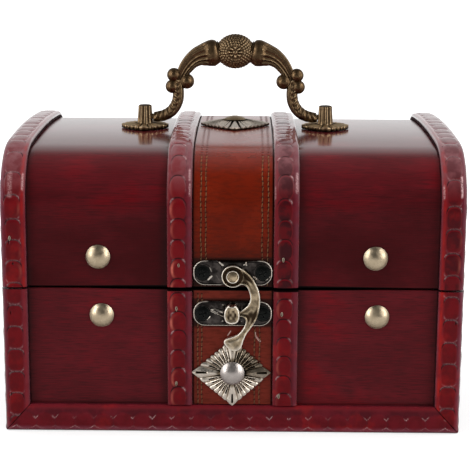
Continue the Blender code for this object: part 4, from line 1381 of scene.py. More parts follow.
@dataclass(frozen=True)
class Strip:
    """A trim strip: its section, where it runs, and the scales on its face and its side."""

    section: Section
    face: Scales
    side: Scales | None = None
    spacing: float = 0.00038
    wall_from: float = 0.0016
    live: float = 0.6
    # Strengths of the painted sheen on the low and the high margin
    cool_sheen: tuple[float, float] = (0.10, 0.42)
    warm_sheen: tuple[float, float] = (0.30, 0.0)
    slots: Spots = ()
    gleams: Strokes = ()

    def make(self, name: str, starts: Array, ends: Array, spread: Spread, depth: Array) -> Thing:
        """Models the strip with its relief.

        Args:
            name: The piece's name.
            starts: Where each of the section's points starts along the strip.
            ends: Where each of them ends.
            spread: Gives points for across, out and along.
            depth: How deep below the strip's face each section point lies.

        Returns:
            The closed piece, with the marks that its finish reads.
        """
        ring = self.section
        columns = len(ring.points) - 1
        rows = math.ceil(float(np.max(ends - starts)) / self.spacing)
        marks: dict[str, Array] = {}

        def place(column: Array, row: Array) -> Array:
            """Puts the strip's points in place, raised by their relief, and keeps their marks.

            Args:
                column: The grid column of each point.
                row: The grid row of each point.

            Returns:
                The points' places.
            """
            along = starts[column] + (ends - starts)[column] * row / rows
            spot, normal = ring.points[column], ring.normals[column]
            stamped = self.face.stamp(along, spot[:, 0])
            weights = [normal[:, 1] ** 2]
            layers = [stamped]
            if self.side:
                layers.append(self.side.stamp(along, spot[:, 1]))
                weights.append(normal[:, 0] ** 2)
            mixed = {key: sum(w * layer[key] for w, layer in zip(weights, layers)) for key in stamped}
            # Nail slots: dented, with painted shade in them
            for slot_x, slot_at in self.slots:
                gap = np.hypot((spot[:, 0] - slot_x) / 0.00030, (along - slot_at) / 0.00095)
                dent = weights[0] * (1 - ease(gap, 0.6, 1.2))
                mixed["crack"] = np.maximum(mixed["crack"], dent)
                mixed["line"] = mixed["line"] * (1 - dent)
                mixed["height"] = mixed["height"] - 0.0005 * dent
            # Painted highlights, laid into the pale stroke mark
            for gleam_x, start, end, width, strength in self.gleams:
                past = np.maximum(np.maximum(start - along, along - end), 0)
                gap = np.hypot((spot[:, 0] - gleam_x) / width, past / 0.0012)
                shine = strength * weights[0] * (1 - ease(gap, 0.2, 1.0))
                mixed["line"] = np.maximum(mixed["line"], shine)
            marks.update(mixed)
            # Painted sheen on the rounded margins
            low, high = self.margins(spot, normal)
            marks["cool_sheen"] = self.cool_sheen[0] * low + self.cool_sheen[1] * high
            marks["warm_sheen"] = (self.warm_sheen[0] * low + self.warm_sheen[1] * high) * (1 - mixed["scale"])
            # The side walls below the face, which the finish paints dark as shade
            marks["wall"] = np.clip((depth[column] - self.wall_from) / 0.0006, 0, 1)
            marks["live"] = np.full(len(along), self.live)
            lifted = spot + normal * mixed["height"][:, None]
            return spread(lifted[:, 0], lifted[:, 1], along)

        made = Bench.sheet(name, columns, rows, place)
        for key in ("scale", "line", "crack", "flank_highlight", "wall", "live", "cool_sheen", "warm_sheen"):
            Bench.mark(made, key, marks[key])
        Bench.close(made)
        return Bench.smooth(made, 50)

    def margins(self, spot: Array, normal: Array) -> tuple[Array, Array]:
        """How near each point of the face or the side is to its low and to its high margin.

        Args:
            spot: Points of the section.
            normal: The ways that they face.

        Returns:
            How near they are to the low and to the high margin, from 0 to 1.
        """
        kept = np.abs(self.section.normals).sum(axis=1) > 0
        share = [normal[:, 1] ** 2, normal[:, 0] ** 2 if self.side else np.zeros(len(spot))]
        low, high = np.zeros(len(spot)), np.zeros(len(spot))
        for axis, weight in enumerate(share):
            line = self.section.points[kept, axis]
            low += weight * (1 - ease(spot[:, axis] - line.min(), 0.0012, 0.0034))
            high += weight * (1 - ease(line.max() - spot[:, axis], 0.0008, 0.0030))
        return low, high


@dataclass
class Woodwork:
    """The boards, the bent lid shell and every embossed trim strip."""

    finishes: Finishes
    line: LidLine = LidLine()
    half_length: float = 0.110
    half_depth: float = 0.080
    panel_x: float = 0.1065
    panel_y: float = 0.0765
    proud: float = 0.0035
    clearance: float = 0.0003
    trim_width: float = 0.012
    edge_round: float = 0.0014
    corner_round: float = 0.0022
    rail_height: float = 0.0134
    base_top: float = 0.0706
    strap_x: float = 0.0253
    shell: float = 0.005
    shell_round: float = 0.0004
    shell_rows: int = 200
    rim: float = 0.0005
    spacing: float = 0.00038
    # Nail slots in the trim, with painted shade in them: across and along
    band_slots: Spots = ((-0.0041, 0.0214), (-0.0057, 0.0111))
    left_slots: Spots = ((-0.0040, 0.0592), (-0.0032, 0.0186))
    right_slots: Spots = ((-0.0035, 0.0556),)
    # Painted highlights on the straps and bands: across, from and to along, half width and strength
    left_gleams: Strokes = (
        (0.0047, 0.0505, 0.0545, 0.0007, 0.55), (0.0049, 0.0440, 0.0480, 0.0006, 0.60))
    right_gleams: Strokes = (
        (0.0048, 0.0455, 0.0530, 0.0011, 0.55), (-0.0054, 0.0430, 0.0470, 0.0005, 0.45))
    left_band_gleams: Strokes = (
        (-0.0108, 0.0460, 0.0520, 0.0008, 0.55), (-0.0048, 0.0430, 0.0530, 0.0016, 0.28))
    right_band_gleams: Strokes = (
        (-0.0026, 0.0440, 0.0520, 0.0008, 0.90), (-0.0110, 0.0435, 0.0480, 0.0006, 0.60))

    def build(self) -> None:
        """Dresses the boards and builds the shell and the strips."""
        self.boards()
        self.lid_shell()
        self.straps()
        self.bands_and_corners()
        self.rails()

    def boards(self) -> None:
        """Gives the boards that stay as they are their stain."""
        lengthwise = ("base_floor", "base_front_panel", "base_back_panel")
        for name in (*lengthwise, "base_left_panel", "base_right_panel", "lid_end_left", "lid_end_right"):
            Bench.dress(name, self.finishes.board_x if name in lengthwise else self.finishes.board_y)

    def lid_shell(self) -> None:
        """Bends the shell from a sheet, with its thickness inwards and its rim eased."""
        half, bend = self.panel_x, self.shell_round
        outline = [(-half, -self.shell, 0.0), (-half, 0.0, bend), (half, 0.0, bend), (half, -self.shell, 0.0)]
        ring = Section.through(outline, (), 0.008)
        inside: dict[str, Array] = {}

        def place(column: Array, row: Array) -> Array:
            """Puts the shell's points in place and keeps which of them are inside.

            Args:
                column: The grid column of each point.
                row: The grid row of each point.

            Returns:
                The points' places.
            """
            across, out = ring.points[column].T
            inside["shell"] = out < -0.9 * self.shell
            along = row / self.shell_rows * (self.line.length + 2 * self.rim) - self.rim
            return self.line.cover(across, out, along)

        made = Bench.sheet("bent_lid_shell", len(ring.points) - 1, self.shell_rows, place)
        Bench.mark(made, "inside", inside["shell"])
        Bench.smooth(Bench.close(made))
        Bench.deliver(made, self.finishes.bent_board, Body.LID, "panel_lacquer", ["lid_shell"])

    def straps(self) -> None:
        """Makes the straps beside the leather, on the lid and on the base's front and back."""
        half = self.trim_width / 2
        foot = self.rail_height + self.clearance
        for end, end_name in ENDS:
            outline = [(-half, self.clearance, 0.0), (-half, self.proud, self.edge_round),
                       (half, self.proud, self.edge_round), (half, self.clearance, 0.0)]
            ring = Section.through(outline, (), self.spacing)
            depth = self.proud - ring.points[:, 1]
            whole = np.zeros(len(ring.points))
            middle = end * self.strap_x
            scales = Scales(middle=-0.0007, pitch=0.0096, start=-0.0012, seed=1.0 + end, rub_and_highlight=0.6,
                            glow=1.0 if end < 0 else 0.10, outline=0.30 if end < 0 else 0.10,
                            groove=0.00026 if end < 0 else 0.00016)
            live, gleams = (0.90, self.left_gleams) if end < 0 else (-0.05, self.right_gleams)
            lid = Strip(ring, scales, live=live, gleams=gleams).make(
                f"embossed_lid_strap_{end_name}", whole, whole + self.line.length,
                lambda across, out, along: self.line.cover(across + middle, out, along), depth)
            Bench.deliver(lid, self.finishes.trim, Body.LID, "trim_lacquer", [f"lid_strap_{end_name}"])
            for side, side_name in FACES:
                scales = Scales(middle=-0.0007, start=0.0037 if end < 0 else 0.0005,
                                seed=4.0 + end + 3 * side, rub_and_highlight=0.65, glow=0.8 if end < 0 else 0.3)
                strap = Strip(ring, scales, live=0.45).make(
                    f"embossed_base_strap_{side_name}_{end_name}", whole, whole + self.base_top - foot,
                    lambda across, out, along: np.column_stack(
                        (across + middle, side * (self.panel_y + out), along + foot)), depth)
                Bench.deliver(strap, self.finishes.trim, Body.BASE, "trim_lacquer",
                              [f"base_strap_{side_name}_{end_name}"])

    def corner_ring(self) -> Section:
        """The L-shaped section that wraps an edge, as negative distances inwards from both faces.

        Returns:
            The section.
        """
        width, inner = self.trim_width, self.proud - self.clearance
        outline = [(-width, -inner, 0.0), (-width, 0.0, self.edge_round), (0.0, 0.0, self.corner_round),
                   (0.0, -width, self.edge_round), (-inner, -width, 0.0)]
        return Section.through(outline, [(-inner, -inner)], self.spacing)

    def bands_and_corners(self) -> None:
        """Makes the bands at the lid's ends and the uprights at the base's corners."""
        ring = self.corner_ring()
        across, out = ring.points[:, 0], ring.points[:, 1]
        depth = np.minimum(-across, -out)
        slope = self.rail_height / self.trim_width
        lift = self.clearance / 2 * math.hypot(1, slope)
        foot = lift + slope * np.maximum(-across, -out)
        whole = np.zeros(len(ring.points))
        for end, end_name in ENDS:
            left = end < 0
            face = Scales(middle=-0.0060, half_width=0.0040, seed=8.0 + end, lit_side=end, power=3.0,
                          pitch=0.0103 if left else 0.0111, half_length=0.0055 if left else 0.0058,
                          start=0.0068 if left else 0.0008, glow=0.25, ridge=0.35, fork=0.6, rub_and_highlight=0.40,
                          outline=0.05, groove=0.00012)
            side = Scales(middle=-0.0060, half_width=0.0039, seed=5.5 + end, power=3.0, pitch=0.0107,
                          half_length=0.0056, start=0.0030, glow=0.25, ridge=0.35, fork=0.6, rub_and_highlight=0.40,
                          outline=0.05, groove=0.00012)
            band = Strip(ring, face, side, live=0.40 if left else 0.10, cool_sheen=(0.0, 0.5), warm_sheen=(0.75, 0.0),
                         slots=self.band_slots if left else (),
                         gleams=self.left_band_gleams if left else self.right_band_gleams).make(
                f"embossed_lid_band_{end_name}", whole - 0.0004, whole + self.line.length + 0.0004,
                lambda a, b, along: self.line.cover(end * (self.half_length + a), self.proud + b, along),
                depth)
            Bench.deliver(band, self.finishes.trim, Body.LID, "trim_lacquer", [f"lid_end_band_{end_name}"])
            for front, side_name in FACES:
                face = Scales(middle=-0.0059, half_width=0.0039, start=0.0024 if left else 0.0073,
                              pitch=0.0111, half_length=0.0055, power=3.4, seed=2.0 + 2 * end + front,
                              glow=0.0, ridge=0.60, fork=0.9, outline=0.0, rub_and_highlight=0.30, groove=0.00009,
                              swell=0.00028)
                upright = Strip(ring, face, side, live=0.40, cool_sheen=(0.20, 0.40) if left else (0.0, 0.6),
                                warm_sheen=(0.35, 0.0) if left else (0.95, 0.0),
                                slots=self.left_slots if left else self.right_slots).make(
                    f"embossed_corner_{side_name}_{end_name}", foot, whole + self.base_top + 0.0003,
                    lambda a, b, along: np.column_stack(
                        (end * (self.half_length + a), front * (self.half_depth + b), along)), depth)
                Bench.deliver(upright, self.finishes.trim, Body.BASE, "trim_lacquer",
                              [f"corner_trim_{side_name}_{end_name}"])

    def rails(self) -> None:
        """Makes the four bottom rails, mitred at their ends."""
        inner = self.proud - self.clearance
        outline = [(0.0, -inner, 0.0), (0.0, 0.0, self.edge_round),
                   (self.rail_height, 0.0, self.edge_round), (self.rail_height, -inner, 0.0)]
        ring = Section.through(outline, (), self.spacing)
        up, out = ring.points[:, 0], ring.points[:, 1]
        depth = np.maximum(-out - 0.0008, 0)
        cut = np.maximum(-out + self.clearance * 0.7, (up + self.clearance / 2) * self.trim_width
                         / self.rail_height + self.clearance / 2)
        scales = Scales(pitch=0.00946, half_length=0.0053, half_width=0.0050, middle=0.0046, start=0.0039,
                        power=2.0, swell=0.00022, tilt=0.00003, groove=0.00022, seed=3.0, glow=0.0,
                        outline=0.10, rub_and_highlight=0.75, turned=True)
        for name, reach, away, turn in (
            ("front", self.half_length, self.half_depth, 0.0),
            ("right", self.half_depth, self.half_length, math.pi / 2),
            ("back", self.half_length, self.half_depth, math.pi),
            ("left", self.half_depth, self.half_length, -math.pi / 2),
        ):
            ends = reach - cut
            rail = Strip(ring, scales, live=0.25, cool_sheen=(0.62, 0.05), warm_sheen=(0.0, 0.25)).make(
                f"embossed_rail_{name}", -ends, ends,
                lambda z, b, along: np.column_stack((along, -away - b, z)), depth)
            Bench.settle(rail, Matrix.Rotation(turn, 4, "Z"))
            Bench.deliver(rail, self.finishes.trim, Body.BASE, "trim_lacquer", [f"bottom_rail_{name}"])


# Leather


@dataclass
class LeatherWork:
    """The leather strips with their channels and double rows of stitches."""

    finishes: Finishes
    line: LidLine = LidLine()
    half_width: float = 0.019
    face: float = 0.0015
    clearance: float = 0.0003
    panel_y: float = 0.0765
    foot: float = 0.0137
    top: float = 0.0706
    lid_rows_x: tuple[float, ...] = (-0.0152, -0.0129, 0.0138, 0.0166)
    base_rows_x: tuple[float, ...] = (-0.0167, -0.0148, 0.0106, 0.0130)
    stitch_pitch: float = 0.0024
    stitch_length: float = 0.0022
    scuffs: tuple[Spots, ...] = (
        ((0.0108, 0.0499), (0.0112, 0.0478)), ((0.0112, 0.0478), (0.0134, 0.0452)),
        ((-0.0010, 0.0502), (-0.0024, 0.0482)))
    thread_width: float = 0.00046
    thread_height: float = 0.00030

    def build(self) -> None:
        """Makes the three strips and their stitches."""
        self.strip("sewn_lid_leather", Body.LID, "lid_leather", self.line.length, self.line.cover)
        for side, face in FACES:
            self.strip(f"sewn_{face}_leather", Body.BASE, f"base_leather_{face}", self.top - self.foot,
                       lambda across, out, along: np.column_stack(
                           (across, side * (self.panel_y + out), self.foot + along)))

    def strip(self, name: str, body: Body, node: str, length: float, spread: Spread) -> None:
        """Makes one strip of leather and the stitches on it.

        Args:
            name: The strip's name.
            body: The body that it moves with.
            node: The CAD node that it stands for.
            length: The strip's length.
            spread: Gives points for distances across, out and along.
        """
        half, edge = self.half_width, 0.0005
        outline = [(-half, self.clearance, 0.0), (-half, self.face, edge), (half, self.face, edge),
                   (half, self.clearance, 0.0)]
        ring = Section.through(outline, (), 0.00040)
        columns, rows = len(ring.points) - 1, math.ceil(length / 0.0006)
        holes: dict[str, Array] = {}
        scuffs = self.scuffs if node == "base_leather_front" else ()
        rows_x = self.lid_rows_x if body is Body.LID else self.base_rows_x

        def place(column: Array, row: Array) -> Array:
            """Puts the strip's points in place, pressed in along the stitches.

            Args:
                column: The grid column of each point.
                row: The grid row of each point.

            Returns:
                The points' places.
            """
            spot, normal = ring.points[column], ring.normals[column]
            along = row / rows * length
            holes["scuff"] = np.zeros(len(along))
            for start, end in scuffs:
                gap, _ = from_stroke(spot[:, 0], along + self.foot, start, end)
                holes["scuff"] = np.maximum(holes["scuff"], 1 - ease(gap, 0.00004, 0.00032))
            channel, hole = np.zeros(len(along)), np.zeros(len(along))
            for row_x in rows_x:
                near = hill(spot[:, 0], row_x, 0.0006)
                phase = np.cos(2 * math.pi * along / self.stitch_pitch)
                channel = np.maximum(channel, near * (0.6 + 0.4 * phase))
                tight = np.clip(1.6 * hill(spot[:, 0], row_x, 0.00045), 0, 1)
                hole = np.maximum(hole, tight * np.clip((phase - 0.25) / 0.35, 0, 1))
            face = np.clip(normal[:, 1], 0, 1) * (spot[:, 1] > self.clearance * 2)
            # Painted shade in the needle holes
            holes["hole"] = hole * face
            lifted = spot - normal * (channel * face * 0.00016)[:, None]
            return spread(lifted[:, 0], lifted[:, 1], along)

        made = Bench.sheet(name, columns, rows, place)
        Bench.mark(made, "hole", holes["hole"])
        Bench.mark(made, "scuff", holes["scuff"])
        Bench.smooth(Bench.close(made), 50)
        Bench.deliver(made, self.finishes.leather, body, "strip_leather", [node])
        self.stitches(f"{name}_stitches", body, rows_x, length, spread)

    def stitches(self, name: str, body: Body, rows_x: Sequence[float], length: float,
                 spread: Spread) -> None:
        """Models one stitch, copies it along every row and joins the copies into a piece.

        Args:
            name: The stitches' name.
            body: The body that it moves with.
            rows_x: Where the rows of stitches lie across the strip.
            length: The strip's length.
            spread: Gives points for distances across, out and along.
        """
        Bench.clear()
        bpy.ops.mesh.primitive_uv_sphere_add(segments=6, ring_count=6, radius=0.5)
        model = Bench.named("one_stitch")
        shape = Bench.points(model)
        order = [tuple(face.vertices) for face in model.data.polygons]
        bpy.data.objects.remove(model)
        count = int(length / self.stitch_pitch)
        points, faces = [], []
        for row_x in rows_x:
            for number in range(count):
                middle = (number + 0.5) * self.stitch_pitch
                lean = 0.10 + 0.10 * math.sin(number * 4.1 + row_x * 900)
                drift = 0.00016 * math.sin(number * 0.9 + row_x * 700)
                on_crown = body is Body.LID and abs(middle - length / 2) < self.line.legs[2] + 0.012
                sunk = 0.0004 if on_crown else 0.0
                along = middle + shape[:, 2] * self.stitch_length
                across = row_x + drift + shape[:, 0] * self.thread_width + (along - middle) * lean
                out = self.face - 0.00008 - sunk + shape[:, 1] * self.thread_height * 1.4
                base = sum(len(part) for part in points)
                points.append(spread(across, out, along))
                faces.extend(tuple(base + index for index in face) for face in order)
        data = bpy.data.meshes.new(name)
        data.from_pydata(np.concatenate(points).tolist(), [], faces)
        made = bpy.data.objects.new(name, data)
        bpy.context.scene.collection.objects.link(made)
        Bench.edit(made)
        bpy.ops.mesh.normals_make_consistent(inside=False)
        Bench.smooth(made, 80)
        Bench.deliver(made, self.finishes.thread, body, "strip_leather")


# Nails, ornaments and screws


@dataclass(frozen=True)
class Pleats:
    """A stamped diamond of rounded pleats round a hub."""

    half_width: float
    half_height: float
    count: int
    rim: float
    hub: float
    inner: float
    corner_power: float = 1.02
    pleat: float = 0.0007
    scallop: float = 0.045
    slits: bool = True
    per_pleat: int = 16
    rings: int = 34
    left_share: float = 1.0
    polish: float = 0.0
    grime: float = 0.12

    def make(self, name: str) -> Thing:
        """Presses the diamond out of a ring of fine faces, flat on z = 0.

        Args:
            name: The new object's name.

        Returns:
            The closed diamond, with its wear and the painted shade in its slits marked.
        """
        columns = (self.count + 4) * self.per_pleat
        marks: dict[str, Array] = {}

        def place(column: Array, row: Array) -> Array:
            """Puts the points in place, from the back's inner edge over the rim to the hub.

            Args:
                column: The grid column of each point.
                row: The grid row of each point.

            Returns:
                The points' places.
            """
            turn = 2 * math.pi * column / columns
            ring = np.where(row < 2, row, self.rings + 4 - row) - 2
            outwards = np.clip(ring / self.rings, 0, 1)
            x, y = np.cos(turn), np.sin(turn)
            half_width = self.half_width * np.where(x < 0, self.left_share, 2 - self.left_share)
            power = self.corner_power
            reach = (np.abs(x / half_width) ** power + np.abs(y / self.half_height) ** power) ** (-1 / power)
            quarter = self.count / 4 + 1
            step = (column / columns * 4 * quarter) % quarter
            tip = (step < 1) | (step > quarter - 1)
            phase = np.where(tip, (step + 1) % quarter / 2 - 0.5, step % 1 - 0.5)
            swell = np.sqrt(np.clip(1 - (1.86 * phase) ** 2, 0, 1))
            edge = reach * (1 - self.scallop * (1 - swell) * (0.40 + 0.95 * ease(y, -0.1, 0.5)))
            radius = self.inner + (edge - self.inner) * outwards
            fade = ease(outwards, 0.0, 0.18) * (1 - 0.45 * ease(outwards, 0.75, 1.0))
            height = self.hub + (self.rim - self.hub) * ease(outwards, 0.15, 1.0)
            height = height - self.pleat * (1 - swell) * fade
            narrow = np.abs(phase) < 0.13 * self.slits
            slit = narrow * ease(outwards, 0.36, 0.42) * (1 - ease(outwards, 0.68, 0.74))
            tip_slit = (np.abs(phase) < 0.07 * self.slits) * ease(outwards, 0.55, 0.60)
            tip_slit = tip_slit * (1 - ease(outwards, 0.88, 0.92))
            cut = np.where(tip, tip_slit, slit)
            height = height - 0.0006 * cut
            height = np.maximum(height - 0.0003 * ease(outwards, 0.90, 1.0), 0.0002)
            height = np.where(ring < 0, 0.0, height)
            radius = np.where(ring == -2, self.inner, np.where(ring == -1, edge, radius))
            # Bright ridges and dark grooves, darker round the hub and towards the upper right, with painted
            # shade in the slits
            low = self.grime + 0.55 * (1 - ease(outwards, 0.0, 0.85)) * (1 - self.grime)
            bright = 0.08 + 0.78 * ease(swell, low, low + 0.38) - 0.45 * (1 - ease(outwards, 0.16, 0.42))
            bright = bright - 0.30 * ease(x * 0.8 + y * 0.6, 0.35, 0.9)
            marks["wear_and_painted_light"] = np.clip(np.where(cut > 0.3, 0.05, bright + self.polish), 0, 1) * (ring >= 0)
            return np.column_stack((x * radius, y * radius, height))

        made = Bench.sheet(name, columns, self.rings + 2, place)
        Bench.mark(made, "wear_and_painted_light", marks["wear_and_painted_light"])
        return Bench.smooth(Bench.close(made), 60)


@dataclass
class Fittings:
    """Dome nails, pleated ornaments and cross-head screws."""

    finishes: Finishes
    head_radius: float = 0.0058
    seat: float = 0.0768
    lid_studs: tuple[tuple[str, float, float], ...] = (("left", -0.0642, 0.0864), ("right", 0.0678, 0.0864))
    base_studs: tuple[tuple[str, float, float], ...] = (("left", -0.0628, 0.0577), ("right", 0.0692, 0.0577))
    ornament_up: float = 0.0300
    ornament_back: float = 0.0783
    nail_back: float = 0.0804
    lid_ornament_up: float = 0.1393
    lid_nail_up: float = 0.1423
    lid_staples: Spots = ((-0.0257, 0.0834), (0.0239, 0.0862), (-0.1055, 0.0958))
    base_staples: Spots = ((-0.0268, 0.0619), (-0.0270, 0.0246), (0.0235, 0.0595), (0.0224, 0.0184))
    trim_face: float = 0.0803

    def build(self) -> None:
        """Makes the studs, both ornaments, their nails and the staples that hold the trim."""
        for row, body, studs in (("lid", Body.LID, self.lid_studs), ("base", Body.BASE, self.base_studs)):
            for side, across, up in studs:
                stud = self.nail(f"{row}_dome_nail_{side}", stand_off(across, up, self.seat))
                Bench.deliver(stud, self.finishes.pale_brass, body, "pale_brass", [f"{row}_stud_{side}"])
        front = Pleats(0.0190, 0.0168, 28, 0.0011, 0.0021, 0.0030, pleat=0.0014, scallop=0.10,
                       left_share=1.03).make("front_pleated_diamond")
        Bench.settle(front, stand_off(0, self.ornament_up, self.ornament_back))
        Bench.deliver(front, self.finishes.silver, Body.BASE, "antique_silver", ["base_ornament"])
        nail = self.nail("front_ornament_nail", stand_off(0, self.ornament_up, self.nail_back))
        Bench.deliver(nail, self.finishes.nickel, Body.BASE, "nickel_nail", ["base_ornament_nail"])
        top = Pleats(0.0177, 0.0190, 28, 0.0015, 0.0029, 0.0030, corner_power=1.25, pleat=0.0026,
                     scallop=0.16, slits=False, polish=0.20, grime=0.50).make("top_pleated_diamond")
        Bench.settle(top, Matrix.Translation((0, 0, self.lid_ornament_up)))
        Bench.deliver(top, self.finishes.silver, Body.LID, "antique_silver", ["lid_ornament"])
        nail = self.nail("top_ornament_nail", Matrix.Translation((0, 0, self.lid_nail_up)), 0.0019)
        Bench.deliver(nail, self.finishes.top_nail, Body.LID, "antique_bronze", ["lid_ornament_nail"])
        self.staples("lid_trim_staples", Body.LID, self.lid_staples)
        self.staples("base_trim_staples", Body.BASE, self.base_staples)

    def staples(self, name: str, body: Body, spots: Sequence[tuple[float, float]]) -> None:
        """Bends one staple's crown from a ring of wire and sets copies of it into the trim.

        Args:
            name: Their name.
            body: The body that it moves with.
            spots: Where they sit, across and up.
        """
        Bench.clear()
        bpy.ops.mesh.primitive_torus_add(major_segments=16, minor_segments=8, major_radius=0.00044,
                                         minor_radius=0.00036)
        model = Bench.reshape(Bench.named("one_staple"), lambda points: points * (0.75, 1.55, 0.8))
        Bench.smooth(model, 60)
        pieces = [Bench.copy(model, name, stand_off(across, up, self.trim_face)) for across, up in spots]
        bpy.data.objects.remove(model)
        made = Bench.worn(Bench.join(name, pieces), 0.0003, 1, lambda points: np.full(len(points), -0.10))
        Bench.deliver(made, self.finishes.silver, body, "nickel_nail")

    def nail(self, name: str, place: Matrix, rise: float = 0.0028) -> Thing:
        """A dome nail's head, turned in at its edge, with its seat on the place's z = 0.

        Args:
            name: Its name.
            place: The matrix that puts it in its place.
            rise: How far its dome rises.

        Returns:
            The nail's head.
        """
        radius, lip = self.head_radius, 0.00030
        foot = [(radius - 0.0005, 0.0), (radius - 0.0001, 0.00008)]
        made = Bench.turned(name, foot + Bench.dome(radius, rise - lip, 14, lip), 64)
        Bench.smooth(Bench.worn(made, 0.0004), 60)
        return Bench.settle(made, place)

    @staticmethod
    def screw(name: str, radius: float, crown: float, place: Matrix) -> Thing:
        """A cross-head screw's head, sunk a little below the place's z = 0.

        Args:
            name: Its name.
            radius: Its radius.
            crown: How far its head is domed.
            place: The matrix that puts it in its place.

        Returns:
            The screw's head.
        """
        sunk, recess, wide = -0.0006, -0.00035, radius * 0.26
        profile = [(radius - 0.0002, sunk), (radius, sunk / 2), (radius, 0.0),
                   *Bench.dome(radius - 0.0001, crown, 6, 0.0)]
        made = Bench.turned(name, profile, 40)
        arm = radius * 0.62
        cutters = [Bench.block("cross_arm", (-arm, -wide / 2, recess), (arm, wide / 2, 0.002)),
                   Bench.block("cross_arm", (-wide / 2, -arm, recess), (wide / 2, arm, 0.002))]
        Bench.cut(made, cutters)
        Bench.worn(Bench.smooth(made, 30), 0.0003, 1)
        return Bench.settle(made, place)


# Latch


@dataclass
class Latch:
    """The swing hook on its plate, and the catch with its folded tongue and knob."""

    finishes: Finishes
    half_length: float = 0.0188
    half_height: float = 0.00605
    end_round: float = 0.0056
    thickness: float = 0.0012
    plate_back: float = 0.0783
    plate_spacing: float = 0.00034
    plate_face: float = 0.0795
    hook_plate_up: float = 0.0795
    catch_up: float = 0.05955
    pad_rise: float = 0.0009
    screw_x: float = 0.0143
    screw_radius: float = 0.0034
    screw_crown: float = 0.0005
    pivot_up: float = 0.0784
    hook_back: float = 0.0807
    hook_thickness: float = 0.0019
    hook_reach: float = 0.0377
    eye_share: float = 0.1406
    eye_turns: tuple[float, float] = (0.160, 0.815)
    rivet_radius: float = 0.0031
    rivet_seat: float = 0.0829
    knob_middle: float = 0.0843
    knob_width: float = 0.0080
    knob_height: float = 0.0105
    knob_thickness: float = 0.0016
    outline_inner: Spots = (
        (0.109, -0.101), (0.166, -0.119), (0.206, -0.189), (0.223, -0.276), (0.215, -0.330), (0.186, -0.382),
        (0.122, -0.437), (0.045, -0.484), (0.038, -0.504), (0.078, -0.519), (0.121, -0.520), (0.152, -0.537),
        (0.168, -0.575), (0.158, -0.628), (0.131, -0.687), (0.087, -0.739), (0.030, -0.775), (-0.034, -0.797),
        (-0.085, -0.820))
    outline_outer: Spots = (
        (-0.108, -0.857), (-0.084, -0.908), (-0.034, -0.955), (0.019, -0.974), (0.066, -0.966),
        (0.106, -0.936), (0.127, -0.885), (0.139, -0.837), (0.178, -0.746), (0.257, -0.632), (0.308, -0.538),
        (0.338, -0.414), (0.347, -0.302), (0.328, -0.185), (0.273, -0.062), (0.208, 0.022), (0.140, 0.083))
    tongue: tuple[tuple[float, float, float, float], ...] = (
        (0.36, -0.08, 0.42, 0.85), (0.40, 0.30, 0.40, 0.85), (0.42, 0.66, 0.42, 0.90),
        (0.36, 0.92, 0.50, 0.95), (0.26, 1.00, 0.60, 1.00))
    tongue_faces: int = 24
    knob_half: Spots = (
        (0.0009, 0.0049), (0.0015, 0.0055), (0.0023, 0.0048), (0.0031, 0.0036), (0.0036, 0.0020),
        (0.00375, 0.0003), (0.0035, -0.0014), (0.0028, -0.0028), (0.0015, -0.0036), (0.0, -0.0038))
    upper_glints: Strokes = (
        (-0.0063, 0.0053, -0.0046, 0.0038, 0.9), (0.0063, 0.0052, 0.0065, 0.0037, 0.8),
        (0.0052, 0.0042, 0.0064, 0.0039, 0.7), (-0.0116, -0.0034, -0.0099, -0.0017, 0.9),
        (0.0099, -0.0018, 0.0112, -0.0031, 0.8), (0.0159, -0.0033, 0.0174, -0.0017, 0.6),
        (-0.0108, 0.0029, -0.0098, 0.0006, 0.35), (-0.0078, -0.0012, -0.0057, -0.0048, 0.30))
    lower_glints: Strokes = (
        (-0.0100, 0.0013, -0.0043, -0.0015, 1.0), (-0.0100, 0.0018, -0.0084, 0.0023, 1.0),
        (-0.0084, 0.0023, -0.0050, 0.0009, 0.6), (-0.0121, -0.0028, -0.0111, -0.0018, 0.8),
        (-0.0102, 0.0038, -0.0092, 0.0034, 0.3), (-0.0048, 0.0043, -0.0042, 0.0038, 0.35),
        (-0.0056, -0.0042, -0.0048, -0.0038, 0.3))

    def build(self) -> None:
        """Makes both plates with their screws, the hook, its rivet and the catch's tongue and knob."""
        self.upper_plate()
        self.lower_plate()
        self.hook()
        self.rivet()
        plates = (("hook_plate", self.hook_plate_up, Body.LID), ("catch_plate", self.catch_up, Body.BASE))
        for row, up, body in plates:
            for end, side in ENDS:
                spin = Matrix.Rotation(0.5 + 0.8 * end + 9 * up, 4, "Z")
                place = stand_off(end * self.screw_x, up, self.plate_face) @ spin
                screw = Fittings.screw(f"{row}_cross_head_{side}", self.screw_radius, self.screw_crown, place)
                Bench.deliver(screw, self.finishes.black, body, "black_screw", [f"{row}_screw_{side}"])

    def plate_outline(self) -> Array:
        """The outline of both plates, anticlockwise.

        Returns:
            Its points, as rows of x and y.
        """
        points = []
        for quarter, (x, y) in enumerate(((1, 1), (-1, 1), (-1, -1), (1, -1))):
            middle = (x * (self.half_length - self.end_round), y * (self.half_height - self.end_round))
            for step in range(17):
                turn = math.pi / 2 * (quarter + step / 16)
                points.append((middle[0] + self.end_round * math.cos(turn),
                               middle[1] + self.end_round * math.sin(turn)))
        return np.array(points)

    @staticmethod
    def eased(edge: Array, radius: float) -> Array:
        """How far a rounded edge has dropped, at a distance inside the outline."""
        return radius * (1 - np.sqrt(np.clip(1 - (1 - edge / radius) ** 2, 0, 1))) * (edge < radius)

